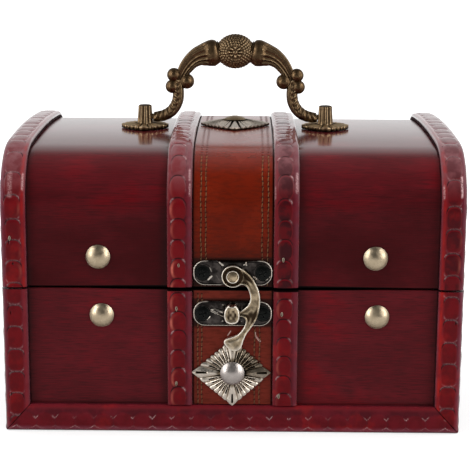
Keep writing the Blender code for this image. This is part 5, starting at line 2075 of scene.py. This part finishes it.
    def plate_height(self, x: Array, y: Array, edge: Array) -> Array:
        """The plain plate: an eased edge, a raised rim line and dished screw holes.

        Args:
            x: How far each point is to the right of the middle.
            y: How far it is above the middle.
            edge: How far it is inside the outline.

        Returns:
            The heights.
        """
        height = self.thickness - self.eased(edge, 0.00028) - 0.00026 * ease(edge, 0.00035, 0.00070)
        for end in (-1, 1):
            reach = np.hypot(x - end * self.screw_x, y)
            height = height + 0.00016 * hill(reach, self.screw_radius + 0.0006, 0.00030)
            height = height - 0.00040 * (1 - ease(reach, self.screw_radius, self.screw_radius + 0.0004))
        return height

    def plate(self, name: str, up: float, height: Heights, strokes: Strokes) -> Thing:
        """Presses one of the two plates.

        Args:
            name: Its name.
            up: Its middle.
            height: Gives its heights for x, y and the distance from its outline.
            strokes: The painted highlight streaks on it.

        Returns:
            The plate, in place.
        """
        made = Bench.relief(name, self.plate_outline(), self.plate_spacing, height)
        Bench.settle(Bench.smooth(made, 60), stand_off(0, up, self.plate_back))
        return Bench.worn(made, shade=lambda points: self.glints(points, up, strokes))

    def upper_plate(self) -> None:
        """The hook's plate, with its raised middle and slanting shoulders."""
        def height(x: Array, y: Array, edge: Array) -> Array:
            """The plate's height, with its raised middle.

            Args:
                x: How far each point is to the right of the middle.
                y: How far it is above the middle.
                edge: How far it is inside the outline.

            Returns:
                The heights.
            """
            shoulder = 0.0049 + 0.0021 * ease(y, 0.0028, 0.0058)
            rise = 1 - ease(np.abs(x), shoulder - 0.00025, shoulder + 0.00065)
            lip = hill(np.abs(x), shoulder - 0.0002, 0.00022) * ease(y, 0.0012, 0.0026)
            raised = (self.pad_rise * rise + 0.00018 * lip) * ease(edge, 0.0, 0.0005)
            return self.plate_height(x, y, edge) + raised

        made = self.plate("hook_backing_plate", self.hook_plate_up, height, self.upper_glints)
        Bench.deliver(made, self.finishes.latch, Body.LID, "dark_latch_metal", ["hook_plate"])

    @staticmethod
    def glints(points: Array, plate_up: float, strokes: Sequence[Sequence[float]]) -> Array:
        """Painted highlight streaks on a plate, from start to end across and up, each with its strength.

        Args:
            points: The points, as rows of x, y and z.
            plate_up: The plate's middle.
            strokes: The streaks.

        Returns:
            How much brighter or darker each point gets.
        """
        x, y = points[:, 0], points[:, 2] - plate_up
        total = np.zeros(len(points))
        for start_x, start_y, end_x, end_y, strength in strokes:
            gap, _ = from_stroke(x, y, (start_x, start_y), (end_x, end_y))
            total = np.maximum(total, 0.45 * strength * (1 - ease(gap, 0.00018, 0.00052)))
        # Painted shade dims the plain top edge where no highlight streak lies
        plain_top = ease(y, 0.0048, 0.0054) * (1 - ease(np.abs(x), 0.0105, 0.0130)) * (points[:, 1] < -0.0789)
        return total - 0.27 * plain_top * (total < 0.1)

    def lower_plate(self) -> None:
        """The catch's plate with the fold that its tongue was bent from, the tongue and the knob."""
        def fold(x: Array, y: Array, start: Sequence[float], end: Sequence[float], width: float) -> Array:
            """How strongly a fold shows, growing from its start to its end."""
            gap, share = from_stroke(x, y, start, end)
            return (1 - ease(gap, width * 0.35, width)) * (0.35 + 0.65 * share)

        def height(x: Array, y: Array, edge: Array) -> Array:
            """The plate's height, with its window and the folds beside it.

            Args:
                x: How far each point is to the right of the middle.
                y: How far it is above the middle.
                edge: How far it is inside the outline.

            Returns:
                The heights.
            """
            window = (1 - ease(np.abs(x), 0.0040, 0.0046)) * (1 - ease(np.abs(y + 0.0002), 0.0038, 0.0044))
            ridge = fold(x, y, (-0.0105, 0.0010), (-0.0036, -0.0016), 0.00042)
            slope = fold(x, y, (-0.0101, 0.0018), (-0.0036, 0.0004), 0.0011)
            hump = (1 - ease(np.hypot(x - 0.0003, y - 0.0046), 0.0012, 0.0020)) * 0.0003
            return self.plate_height(x, y, edge) - 0.0008 * window + 0.0011 * ridge + 0.0007 * slope + hump

        plate = self.plate("catch_backing_plate", self.catch_up, height, self.lower_glints)
        plate.data.materials.append(self.finishes.latch)
        tongue = self.catch_tongue()
        knob = self.catch_knob()
        for piece in (tongue, knob):
            piece.data.materials.append(self.finishes.brass)
        made = Bench.join("catch_with_knob", [plate, tongue, knob])
        Bench.deliver(made, self.finishes.latch, Body.BASE, "dark_latch_metal", ["catch_plate"])

    def catch_tongue(self) -> Thing:
        """The narrow tongue that bends out of the plate and over to the knob.

        Returns:
            The tongue, in place.
        """
        rows = smooth_rows(self.tongue, 6)
        reach = self.knob_middle - self.plate_face
        spine = rows[:, :2] * (self.knob_height, reach)
        ahead = np.gradient(spine, axis=0)
        side = np.column_stack((-ahead[:, 1], ahead[:, 0])) / np.linalg.norm(ahead, axis=1)[:, None]

        def place(column: Array, row: Array) -> Array:
            """Puts the tongue's points round its spine.

            Args:
                column: The grid column of each point.
                row: The grid row of each point.

            Returns:
                The points' places.
            """
            turn = 2 * math.pi * column / self.tongue_faces
            wide = np.sign(np.cos(turn)) * np.abs(np.cos(turn)) ** 0.6
            thick = np.sign(np.sin(turn)) * np.abs(np.sin(turn)) ** 0.6
            half = self.knob_thickness / 2 * rows[row, 3] * thick
            return np.column_stack((self.knob_width / 2 * rows[row, 2] * wide,
                                    spine[row, 0] + side[row, 0] * half, spine[row, 1] + side[row, 1] * half))

        made = Bench.close(Bench.sheet("catch_tongue", self.tongue_faces, len(rows) - 1, place))
        Bench.settle(Bench.smooth(made, 50), stand_off(0, self.catch_up, self.plate_face))
        return Bench.worn(made, 0.0006)

    def catch_knob(self) -> Thing:
        """The egg-shaped knob with its thick rim, dished middle and two shoulders.

        Returns:
            The knob, in place.
        """
        half = smooth_rows(self.knob_half, 4)
        outline = np.concatenate((half * (-1, 1), half[-2::-1]))

        def height(x: Array, y: Array, edge: Array) -> Array:
            """The knob's height: a rounded rim round a shallow dish."""
            rim = 0.0009 + 0.0011 * np.sqrt(1 - (1 - np.clip(edge / 0.0005, 0, 1)) ** 2)
            return rim - 0.00030 * ease(edge, 0.0005, 0.0024)

        made = Bench.relief("catch_knob", outline, 0.00028, height)
        back = self.knob_middle - self.knob_thickness / 2

        def bright(points: Array) -> Array:
            """Painted highlights on the knob's rim and foot, painted shade in its middle, and a faint uneven
            tone.

            Args:
                points: The points, as rows of x, y and z.

            Returns:
                One tone for each point.
            """
            edge = Bench.depth(points[:, :2], outline)
            rim = 1 - ease(edge, 0.0003, 0.0009)
            foot = 0.85 * ease(-points[:, 1], 0.0014, 0.0030)
            dull = 0.06 * np.sin(points[:, 0] * 2600) * np.sin(points[:, 1] * 1900)
            heart = hill(points[:, 1], 0.0004, 0.0030) * ease(edge, 0.0006, 0.0020)
            return 0.10 * rim + 0.16 * foot + dull * (1 - rim) - 0.17 * heart

        Bench.worn(Bench.smooth(made, 60), shade=bright)
        return Bench.settle(made, stand_off(-0.0003, self.catch_up, back))

    def hook(self) -> None:
        """The hook: a flat casting with raised edges, a dished eye and a curled tail."""
        reach, eye = self.hook_reach, self.eye_share * self.hook_reach
        turns = np.linspace(*(2 * math.pi * share for share in self.eye_turns), 44)
        ring = np.column_stack((np.cos(turns), np.sin(turns))) * eye
        arm = smooth_rows(self.outline_inner + self.outline_outer, 4) * reach

        def height(x: Array, y: Array, edge: Array) -> Array:
            """The hook's height: an eased edge, a dished eye and a rounded tail.

            Args:
                x: How far each point is to the right of the middle.
                y: How far it is above the middle.
                edge: How far it is inside the outline.

            Returns:
                The heights.
            """
            level = self.hook_thickness - self.eased(edge, 0.00025)
            level = level - 0.00032 * ease(edge, 0.00035, 0.0010) + 0.0002 * ease(edge, 0.0014, 0.0026)
            gap = np.hypot(x, y)
            level = level - 0.00045 * (1 - ease(gap, eye - 0.0011, eye - 0.0006)) * (gap < eye)
            curl = ease(-y, reach * 0.72, reach * 0.95)
            crown = np.sqrt(1 - (1 - np.clip(edge / 0.0030, 0, 1)) ** 2)
            tail = 0.0015 + 0.0006 * crown
            return level * (1 - curl) + tail * curl

        made = Bench.relief("swing_hook", np.concatenate((ring, arm)), 0.00036, height)
        Bench.settle(Bench.smooth(made, 60), stand_off(0, self.pivot_up, self.hook_back))
        Bench.worn(made, shade=self.hook_tones)
        Bench.deliver(made, self.finishes.brass, Body.HOOK, "antique_brass", ["hook_arm"])

    def hook_tones(self, points: Array) -> Array:
        """Darker in the eye's dish and on the arm's back bend, neck, throat and fork, with a painted
        highlight on the curled tail.

        Args:
            points: The points, as rows of x, y and z.

        Returns:
            One tone for each point.
        """
        x, up = points[:, 0], points[:, 2] - self.pivot_up
        eye = np.hypot(x, up)
        dish = (1 - ease(eye, 0.0045, 0.0050)) * 0.60
        bend = hill(up, -0.0195, 0.0040) * 0.12
        neck = hill(up, -0.0020, 0.0035) * (x > 0.0045) * 0.10
        pit = hill(np.hypot(x - 0.0018, up + 0.0330), 0.0, 0.0011)
        tail = ease(-up, 0.0265, 0.0310) * 0.13 * (1 - 0.5 * pit)
        throat = hill(np.hypot((x - 0.0068) / 0.0024, (up - 0.0006) / 0.0034), 0.0, 1.0) * 0.26
        fork = hill(np.hypot(x - 0.0092, up + 0.0192), 0.0, 0.0030) * 0.14
        return tail - dish - bend - neck - throat - fork

    def rivet(self) -> None:
        """The rivet that the hook turns on: a low dome inside a raised ring."""
        radius = self.rivet_radius
        ring = [(radius - 0.0002, -0.0006), (radius, 0.0), (radius, 0.00035), (radius - 0.00015, 0.0006),
                (radius - 0.00045, 0.00062), (radius - 0.00065, 0.0004)]
        made = Bench.turned("hook_rivet_head", ring + Bench.dome(radius - 0.00075, 0.00050, 8, 0.00032), 48)
        Bench.worn(Bench.smooth(made, 50), 0.0005, 1)
        Bench.settle(made, stand_off(0, self.pivot_up, self.rivet_seat))
        Bench.deliver(made, self.finishes.brass, Body.LID, "antique_brass", ["hook_rivet"])


# Handle


@dataclass
class Handle:
    """The cast bail on its two fluted posts and flower rosettes."""

    finishes: Finishes
    pivot_up: float = 0.1436
    reach: float = 0.04235
    rise: float = 0.0338
    horn_radius: float = 0.0068
    horn_depth: float = 0.78
    flutes: int = 16
    rope_radius: float = 0.0029
    rope_turn: float = 0.0056
    scroll_radius: float = 0.0033
    bead: tuple[float, float, float] = (0.0096, 0.0072, 0.0085)
    pin_radius: float = 0.0014
    post_x: float = 0.04675
    post_seat: float = 0.1398
    post_top: float = 0.1497
    post_foot_radius: float = 0.0041
    post_head_radius: float = 0.0034
    post_flutes: int = 9
    rosette_seat: float = 0.1378
    rosette_radius: float = 0.0122
    horn_rows: Spine = (
        (0.166, 1.000, 0.70), (0.208, 0.985, 0.84), (0.263, 0.976, 1.00), (0.320, 0.962, 0.97),
        (0.384, 0.944, 0.86), (0.458, 0.914, 0.73), (0.532, 0.850, 0.62), (0.585, 0.775, 0.56),
        (0.625, 0.700, 0.50), (0.662, 0.610, 0.42), (0.682, 0.520, 0.34))
    rope_rows: Spine = (
        (0.687, 0.560, 0.86), (0.695, 0.440, 0.96), (0.695, 0.330, 1.00), (0.706, 0.235, 1.00),
        (0.742, 0.140, 1.00), (0.797, 0.065, 1.00), (0.872, 0.015, 0.98), (0.958, -0.006, 0.92),
        (1.000, 0.000, 0.80))
    scroll_rows: Spine = (
        (0.592, 0.540, 1.20), (0.748, 0.636, 1.10), (0.768, 0.460, 1.08))

    def build(self) -> None:
        """Makes the bail, and a post and a rosette on each side."""
        halves = [self.horn(), self.rope(), *self.scrolls(), self.pin()]
        place = Matrix.Translation((0, 0, self.pivot_up))
        mirror = place @ Matrix.Diagonal((-1, 1, 1, 1))
        pieces = [Bench.copy(piece, f"{piece.name}_{side}", matrix) for piece in halves
                  for side, matrix in (("right", place), ("left", mirror))]
        for piece in halves:
            bpy.data.objects.remove(piece)
        bail = Bench.join("cast_bail", [self.middle_bead(), *pieces])
        Bench.deliver(bail, self.finishes.bronze, Body.HANDLE, "antique_bronze", ["handle_bail"])
        for end, side in ENDS:
            post = Bench.settle(self.post(side), Matrix.Translation((end * self.post_x, 0, self.post_seat)))
            Bench.deliver(post, self.finishes.bronze, Body.LID, "antique_bronze", [f"handle_post_{side}"])
            disc = Pleats(self.rosette_radius, self.rosette_radius, 20, 0.0022, 0.0026, 0.0028,
                          corner_power=1.55, pleat=0.0022, scallop=0.26, slits=False, rings=18,
                          polish=0.22, grime=0.40)
            rosette = Bench.settle(disc.make(f"post_rosette_{side}"),
                                   Matrix.Translation((end * self.post_x, 0, self.rosette_seat)))
            Bench.deliver(rosette, self.finishes.bronze, Body.LID, "antique_bronze",
                          [f"handle_rosette_{side}"])

    def swept(self, name: str, rows: Array, columns: int,
              section: Callable[[Array, Array], tuple[Array, Array]]) -> Thing:
        """Sweeps a section along a spine in the bail's plane.

        Args:
            name: The new object's name.
            rows: The spine as rows of along, up and size, about the pivot.
            columns: Faces round the section.
            section: Gives the offsets outwards in the plane and across it, for a turn and a row.

        Returns:
            The closed piece.
        """
        spine = rows[:, :2]
        ahead = np.gradient(spine, axis=0)
        side = np.column_stack((-ahead[:, 1], ahead[:, 0])) / np.linalg.norm(ahead, axis=1)[:, None]

        def place(column: Array, row: Array) -> Array:
            """Puts the points of a turn and a row of the spine in place."""
            outwards, across = section(2 * math.pi * column / columns, row)
            return np.column_stack((spine[row, 0] + side[row, 0] * outwards, across,
                                    spine[row, 1] + side[row, 1] * outwards))

        return Bench.smooth(Bench.close(Bench.sheet(name, columns, len(rows) - 1, place)), 60)

    def scaled(self, shares: Sequence[Sequence[float]], radius: float, steps: int) -> Array:
        """A spine's rows in metres, smoothed."""
        return smooth_rows([(x * self.reach, up * self.rise, size * radius) for x, up, size in shares], steps)

    def horn(self) -> Thing:
        """One horn: a collar line, a smooth shoulder and scooped flutes down to the scrolls.

        Returns:
            The horn, about the pivot.
        """
        rows = self.scaled(self.horn_rows, self.horn_radius, 12)
        share = np.arange(len(rows)) / (len(rows) - 1)
        collar = 0.0011 * hill(share, 0.040, 0.011) - 0.0003 * hill(share, 0.100, 0.020)
        size = rows[:, 2] + collar

        def section(turn: Array, row: Array) -> tuple[Array, Array]:
            """The horn's section, with its flutes and the dots above them.

            Args:
                turn: The turn round the section at each point.
                row: The spine's row at each point.

            Returns:
                The offsets outwards in the bail's plane and across it.
            """
            wave = self.flutes / 2 * (turn + math.pi / 2)
            sides = ease(np.abs(np.sin(turn)), 0.30, 0.55)
            depth = 0.125 * ease(share[row], 0.30, 0.38) * (0.35 + 0.65 * sides)
            scoop = 1 - depth * np.abs(np.sin(wave)) ** 0.75
            dots = 0.035 * hill(share[row], 0.285, 0.015) * np.abs(np.cos(wave)) ** 8 * sides
            radius = size[row] * (scoop + dots)
            return radius * np.cos(turn), radius * np.sin(turn) * self.horn_depth

        return Bench.worn(self.swept("bail_horn", rows, 160, section), 0.0006, 1)

    def rope(self) -> Thing:
        """One lower arm: rope strands on its inner side and a smooth rim on its outer side.

        Returns:
            The arm, about the pivot.
        """
        rows = self.scaled(self.rope_rows, self.rope_radius, 12)
        steps = np.linalg.norm(np.diff(rows[:, :2], axis=0), axis=1)
        length = np.concatenate(((0,), np.cumsum(steps)))

        def section(turn: Array, row: Array) -> tuple[Array, Array]:
            """The arm's section, with its strands, its rim and the groove between them.

            Args:
                turn: The turn round the section at each point.
                row: The spine's row at each point.

            Returns:
                The offsets outwards in the bail's plane and across it.
            """
            outer = -np.cos(turn)
            inner = 1 - ease(outer, -0.1, 0.45)
            late = ease(length[row] / length[-1], 0.62, 0.80)
            laid = np.maximum(inner, late)
            phase = 1.6 * np.abs(math.pi - turn) + 2 * math.pi * length[row] / self.rope_turn
            strands = 0.17 * laid * np.abs(np.sin(phase)) ** 1.6 * (0.20 + 0.80 * np.abs(np.sin(turn)))
            rim = 0.10 * hill(outer, 0.55, 0.14) * (1 - late)
            groove = 0.12 * hill(outer, 0.22, 0.14) * (1 - late)
            radius = rows[row, 2] * (1.03 - strands + rim - groove)
            return radius * np.cos(turn), radius * np.sin(turn)

        return Bench.worn(self.swept("bail_rope", rows, 60, section), 0.0005, 1)

    def scrolls(self) -> list[Thing]:
        """The three balls on one side, each with a scroll line cut round its middle.

        Returns:
            The three balls, about the pivot.
        """
        made = []
        for index, (along, up, size) in enumerate(self.scroll_rows):
            radius = size * self.scroll_radius
            ball = Bench.ball(f"bail_scroll_{index}", (radius, radius, radius * 0.95), 40, 24)

            def curl(points: Array) -> Array:
                """Cuts the scroll line into a ball.

                Args:
                    points: The points, as rows of x, y and z.

                Returns:
                    The moved points.
                """
                turn = np.arctan2(points[:, 1], points[:, 0])
                polar = np.arccos(np.clip(np.abs(points[:, 2]) / (radius * 0.95), -1, 1))
                groove = hill(polar, 0.62 + 0.16 * turn / math.pi, 0.10) * (np.abs(turn) < 2.6)
                return points * (1 - 0.055 * groove[:, None])

            Bench.reshape(ball, curl)
            tilt = Matrix.Rotation(math.pi / 2, 4, "X")
            Bench.settle(ball, Matrix.Translation((along * self.reach, 0, up * self.rise)) @ tilt)
            made.append(Bench.worn(Bench.smooth(ball, 70), 0.0006, 1))
        return made

    def pin(self) -> Thing:
        """The pin that turns in the post.

        Returns:
            The pin, about the pivot.
        """
        radius = self.pin_radius
        profile = [(radius * 0.85, 0), (radius, 0.0002), (radius, 0.0036), (radius * 0.85, 0.0038)]
        made = Bench.turned("bail_pin", profile, 20)
        place = Matrix.Translation((self.reach - 0.0010, 0, 0))
        Bench.settle(made, place @ Matrix.Rotation(math.pi / 2, 4, "Y"))
        return Bench.worn(Bench.smooth(made), 0.0004, 1)

    def middle_bead(self) -> Thing:
        """The bead: rings of small pearls round a flower on its front and back.

        Returns:
            The bead, in place.
        """
        length, depth, height = self.bead
        ball = Bench.ball("bail_bead", (1, 1, 1), 200, 110)
        pitch, size = 0.00150, (length + height) / 2

        def pearls(points: Array) -> Array:
            """Raises the pearls and the flowers, and gives the bead its size.

            Args:
                points: The points, as rows of x, y and z.

            Returns:
                The moved points.
            """
            turn = np.arctan2(points[:, 1], points[:, 0])
            polar = np.arccos(np.clip(np.abs(points[:, 2]), 0, 1))
            reach = polar * size
            ring = np.rint(reach / pitch)
            middle = ring * pitch
            around = np.maximum(np.rint(2 * math.pi * np.sin(middle / size) * size / pitch), 1)
            place = turn / (2 * math.pi) * around + 0.5 * (ring % 2)
            off = (place - np.rint(place)) * 2 * math.pi * np.sin(middle / size) * size / around
            gap2 = ((reach - middle) ** 2 + off**2) / (0.52 * pitch) ** 2
            pearl = 0.050 * np.sqrt(np.clip(1 - gap2, 0, 1))
            petal = np.abs(np.cos(4 * turn)) ** 1.5 * hill(reach, 0.0024, 0.0009)
            boss = np.sqrt(np.clip(1 - (reach / 0.0011) ** 2, 0, 1))
            flower = 0.095 * petal + 0.110 * boss
            inside = 1 - ease(reach, 0.0033, 0.0037)
            grow = 1 + pearl * (1 - inside) + flower * inside - 0.02 * inside
            return points * grow[:, None] * (length, height, depth)

        Bench.reshape(ball, pearls)
        place = Matrix.Translation((0, 0, self.pivot_up + self.rise)) @ Matrix.Rotation(math.pi / 2, 4, "X")
        Bench.settle(Bench.smooth(ball, 80), place)
        return Bench.worn(ball, 0.0005, 1)

    def post(self, side: str) -> Thing:
        """A tapered post with rounded ribs and a worn, rounded top.

        Args:
            side: Left or right.

        Returns:
            The post, standing on z = 0.
        """
        height = self.post_top - self.post_seat
        profile = [(0.0, 1.08), (0.04, 1.07), (0.10, 1.0), (0.30, 1.0), (0.50, 1.0), (0.70, 1.0), (0.86, 1.0),
                   (0.91, 1.03), (0.95, 0.98), (0.98, 0.86), (1.0, 0.62)]
        taper = self.post_foot_radius - self.post_head_radius
        rings = [((self.post_foot_radius - taper * up) * wide, height * up) for up, wide in profile]
        made = Bench.turned(f"fluted_post_{side}", rings, 120)

        def ribs(points: Array) -> Array:
            """Cuts the grooves between the post's ribs.

            Args:
                points: The points, as rows of x, y and z.

            Returns:
                The moved points.
            """
            turn = np.arctan2(points[:, 1], points[:, 0])
            groove = 0.13 * np.abs(np.sin(self.post_flutes / 2 * turn)) ** 4
            groove = groove * ease(points[:, 2], 0.0, 0.0008)
            return points * np.column_stack((1 - groove, 1 - groove, np.ones(len(points))))

        Bench.reshape(made, ribs)
        return Bench.worn(Bench.smooth(made, 60), 0.0006, 1,
                          lambda points: 0.07 - 0.25 * ease(points[:, 2], 0.85 * height, height))


# Hinges


@dataclass
class Hinges:
    """The two hinges at the back and the screws inside the lid, which keep their solids."""

    finishes: Finishes

    def build(self) -> None:
        """Gives each of them its metal."""
        metals = {"hinge_metal": self.finishes.hinge, "black_screw": self.finishes.inner_screw}
        for row in frame["record"]["subparts"]:
            metal = metals.get(row["material_slot"])
            if metal and row["node"].startswith(("hinge_", "handle_")):
                Bench.dress(row["node"], metal)


# Studio


@dataclass
class Studio:
    """The floor, the soft boxes, the surroundings and the camera at the photograph's place."""

    eye: tuple[float, float, float] = (0.0067, -0.7368, 0.2413)
    yaw: float = -0.5
    pitch: float = 12.3
    roll: float = -0.3
    focal_pixels: float = 1426.1
    frame_pixels: float = 470.0
    sensor_mm: float = 36.0
    floor_reach: float = 4.0

    def build(self) -> None:
        """Sets everything up."""
        scene = bpy.context.scene
        scene.view_settings.view_transform = "Standard"
        self.camera()
        self.floor()
        self.surroundings()
        self.lamp("left soft box", (-1.08, -0.72, 0.50), (0.50, 1.5), 9.2)
        self.lamp("right soft box", (1.08, -0.72, 0.50), (0.50, 1.5), 9.2)
        self.lamp("overhead soft box", (0.0, 0.15, 1.35), (1.3, 0.9), 20.0, False)

    def camera(self) -> None:
        """Places the camera."""
        yaw, pitch, roll = (math.radians(x) for x in (self.yaw, self.pitch, self.roll))
        ahead = Vector((math.sin(yaw) * math.cos(pitch), math.cos(yaw) * math.cos(pitch), -math.sin(pitch)))
        level = Vector((math.cos(yaw), -math.sin(yaw), 0))
        upright = level.cross(ahead)
        right = level * math.cos(roll) - upright * math.sin(roll)
        up = level * math.sin(roll) + upright * math.cos(roll)
        place = Matrix((right, up, -ahead)).transposed().to_4x4()
        place.translation = Vector(self.eye)
        data = bpy.data.cameras.new("photograph camera")
        data.sensor_width = self.sensor_mm
        data.lens = self.sensor_mm * self.focal_pixels / self.frame_pixels
        camera = bpy.data.objects.new("photograph camera", data)
        camera.matrix_world = place
        bpy.context.scene.collection.objects.link(camera)
        bpy.context.scene.camera = camera

    def floor(self) -> None:
        """Lays the plain pale floor."""
        Bench.clear()
        bpy.ops.mesh.primitive_grid_add(x_subdivisions=8, y_subdivisions=8, size=2 * self.floor_reach)
        made = Bench.named("studio_floor")
        g = Graph("pale_floor")
        path = g.node("ShaderNodeLightPath")
        reach = g.node("ShaderNodeVectorMath", operation="LENGTH")
        g.feed(reach.inputs["Vector"], g.place)
        glow = g.range(reach.outputs["Value"], 0.12, 0.34, 0.50, 1.0)
        far = g.range(g.axis("Y"), 0.30, 1.20, 0.0, 0.60)
        mirrored = g.times(path.outputs["Is Glossy Ray"], far)
        seen = g.times(path.outputs["Is Camera Ray"], glow)
        g.set(Base_Color=(0.52, 0.52, 0.52), Roughness=0.9, Specular_IOR_Level=0.0,
              Emission_Color=(1.0, 1.0, 1.0), Emission_Strength=g.plus(seen, mirrored))
        made.data.materials.append(g.material)

    def surroundings(self) -> None:
        """Lights the scene evenly, with a white sweep behind, bright sides and a dim room in front."""
        world = bpy.data.worlds.new("studio")
        world.use_nodes = True
        bpy.context.scene.world = world
        w = Nodes(world.node_tree)
        sky = w.tree.nodes["Background"].inputs
        path = w.node("ShaderNodeLightPath").outputs
        direction = w.node("ShaderNodeSeparateXYZ")
        w.feed(direction.inputs["Vector"], w.node("ShaderNodeTexCoord").outputs["Generated"])
        toward = direction.outputs
        sweep = w.range(toward["Y"], -0.50, 0.30, 0.10, 1.0)
        low = w.range(toward["Z"], 0.15, 0.30, 0.85, 0.55)
        high = w.range(toward["Z"], 0.62, 0.97, 1.0, 0.32)
        behind = w.times(sweep, w.times(low, high))
        sides = w.range(w.math("ABSOLUTE", toward["X"]), 0.45, 0.85, 0.10, 0.95)
        shown = w.times(path["Is Glossy Ray"], w.math("MAXIMUM", behind, sides))
        seen = w.math("MAXIMUM", path["Is Camera Ray"], path["Is Transmission Ray"])
        plain = w.times(path["Is Diffuse Ray"], 0.50)
        w.feed(sky["Strength"], w.plus(w.plus(seen, shown), plain))
        w.feed(sky["Color"], (1.0, 1.0, 1.0))

    @staticmethod
    def lamp(name: str, place: Sequence[float], size: Sequence[float], power: float,
             mirrored: bool = True) -> None:
        """Hangs a soft box that faces the box.

        Args:
            name: Its name.
            place: Where it hangs.
            size: Its width and height.
            power: Its power in watts.
            mirrored: Whether glossy surfaces show it.
        """
        data = bpy.data.lights.new(name, "AREA")
        data.shape = "RECTANGLE"
        data.size, data.size_y = size
        data.energy = power
        made = bpy.data.objects.new(name, data)
        made.location = place
        made.visible_glossy = mirrored
        aim = Vector((0, 0, 0.07)) - Vector(place)
        made.rotation_euler = aim.to_track_quat("-Z", "Y").to_euler()
        bpy.context.scene.collection.objects.link(made)


def main() -> None:
    """Builds the box's sub-assemblies in order, and then the studio around it."""
    logging.basicConfig(level=logging.INFO, format="%(name)s: %(message)s")
    finishes = Finishes()
    Woodwork(finishes).build()
    LeatherWork(finishes).build()
    Fittings(finishes).build()
    Latch(finishes).build()
    Handle(finishes).build()
    Hinges(finishes).build()
    Studio().build()


if __name__ == "__main__":
    main()
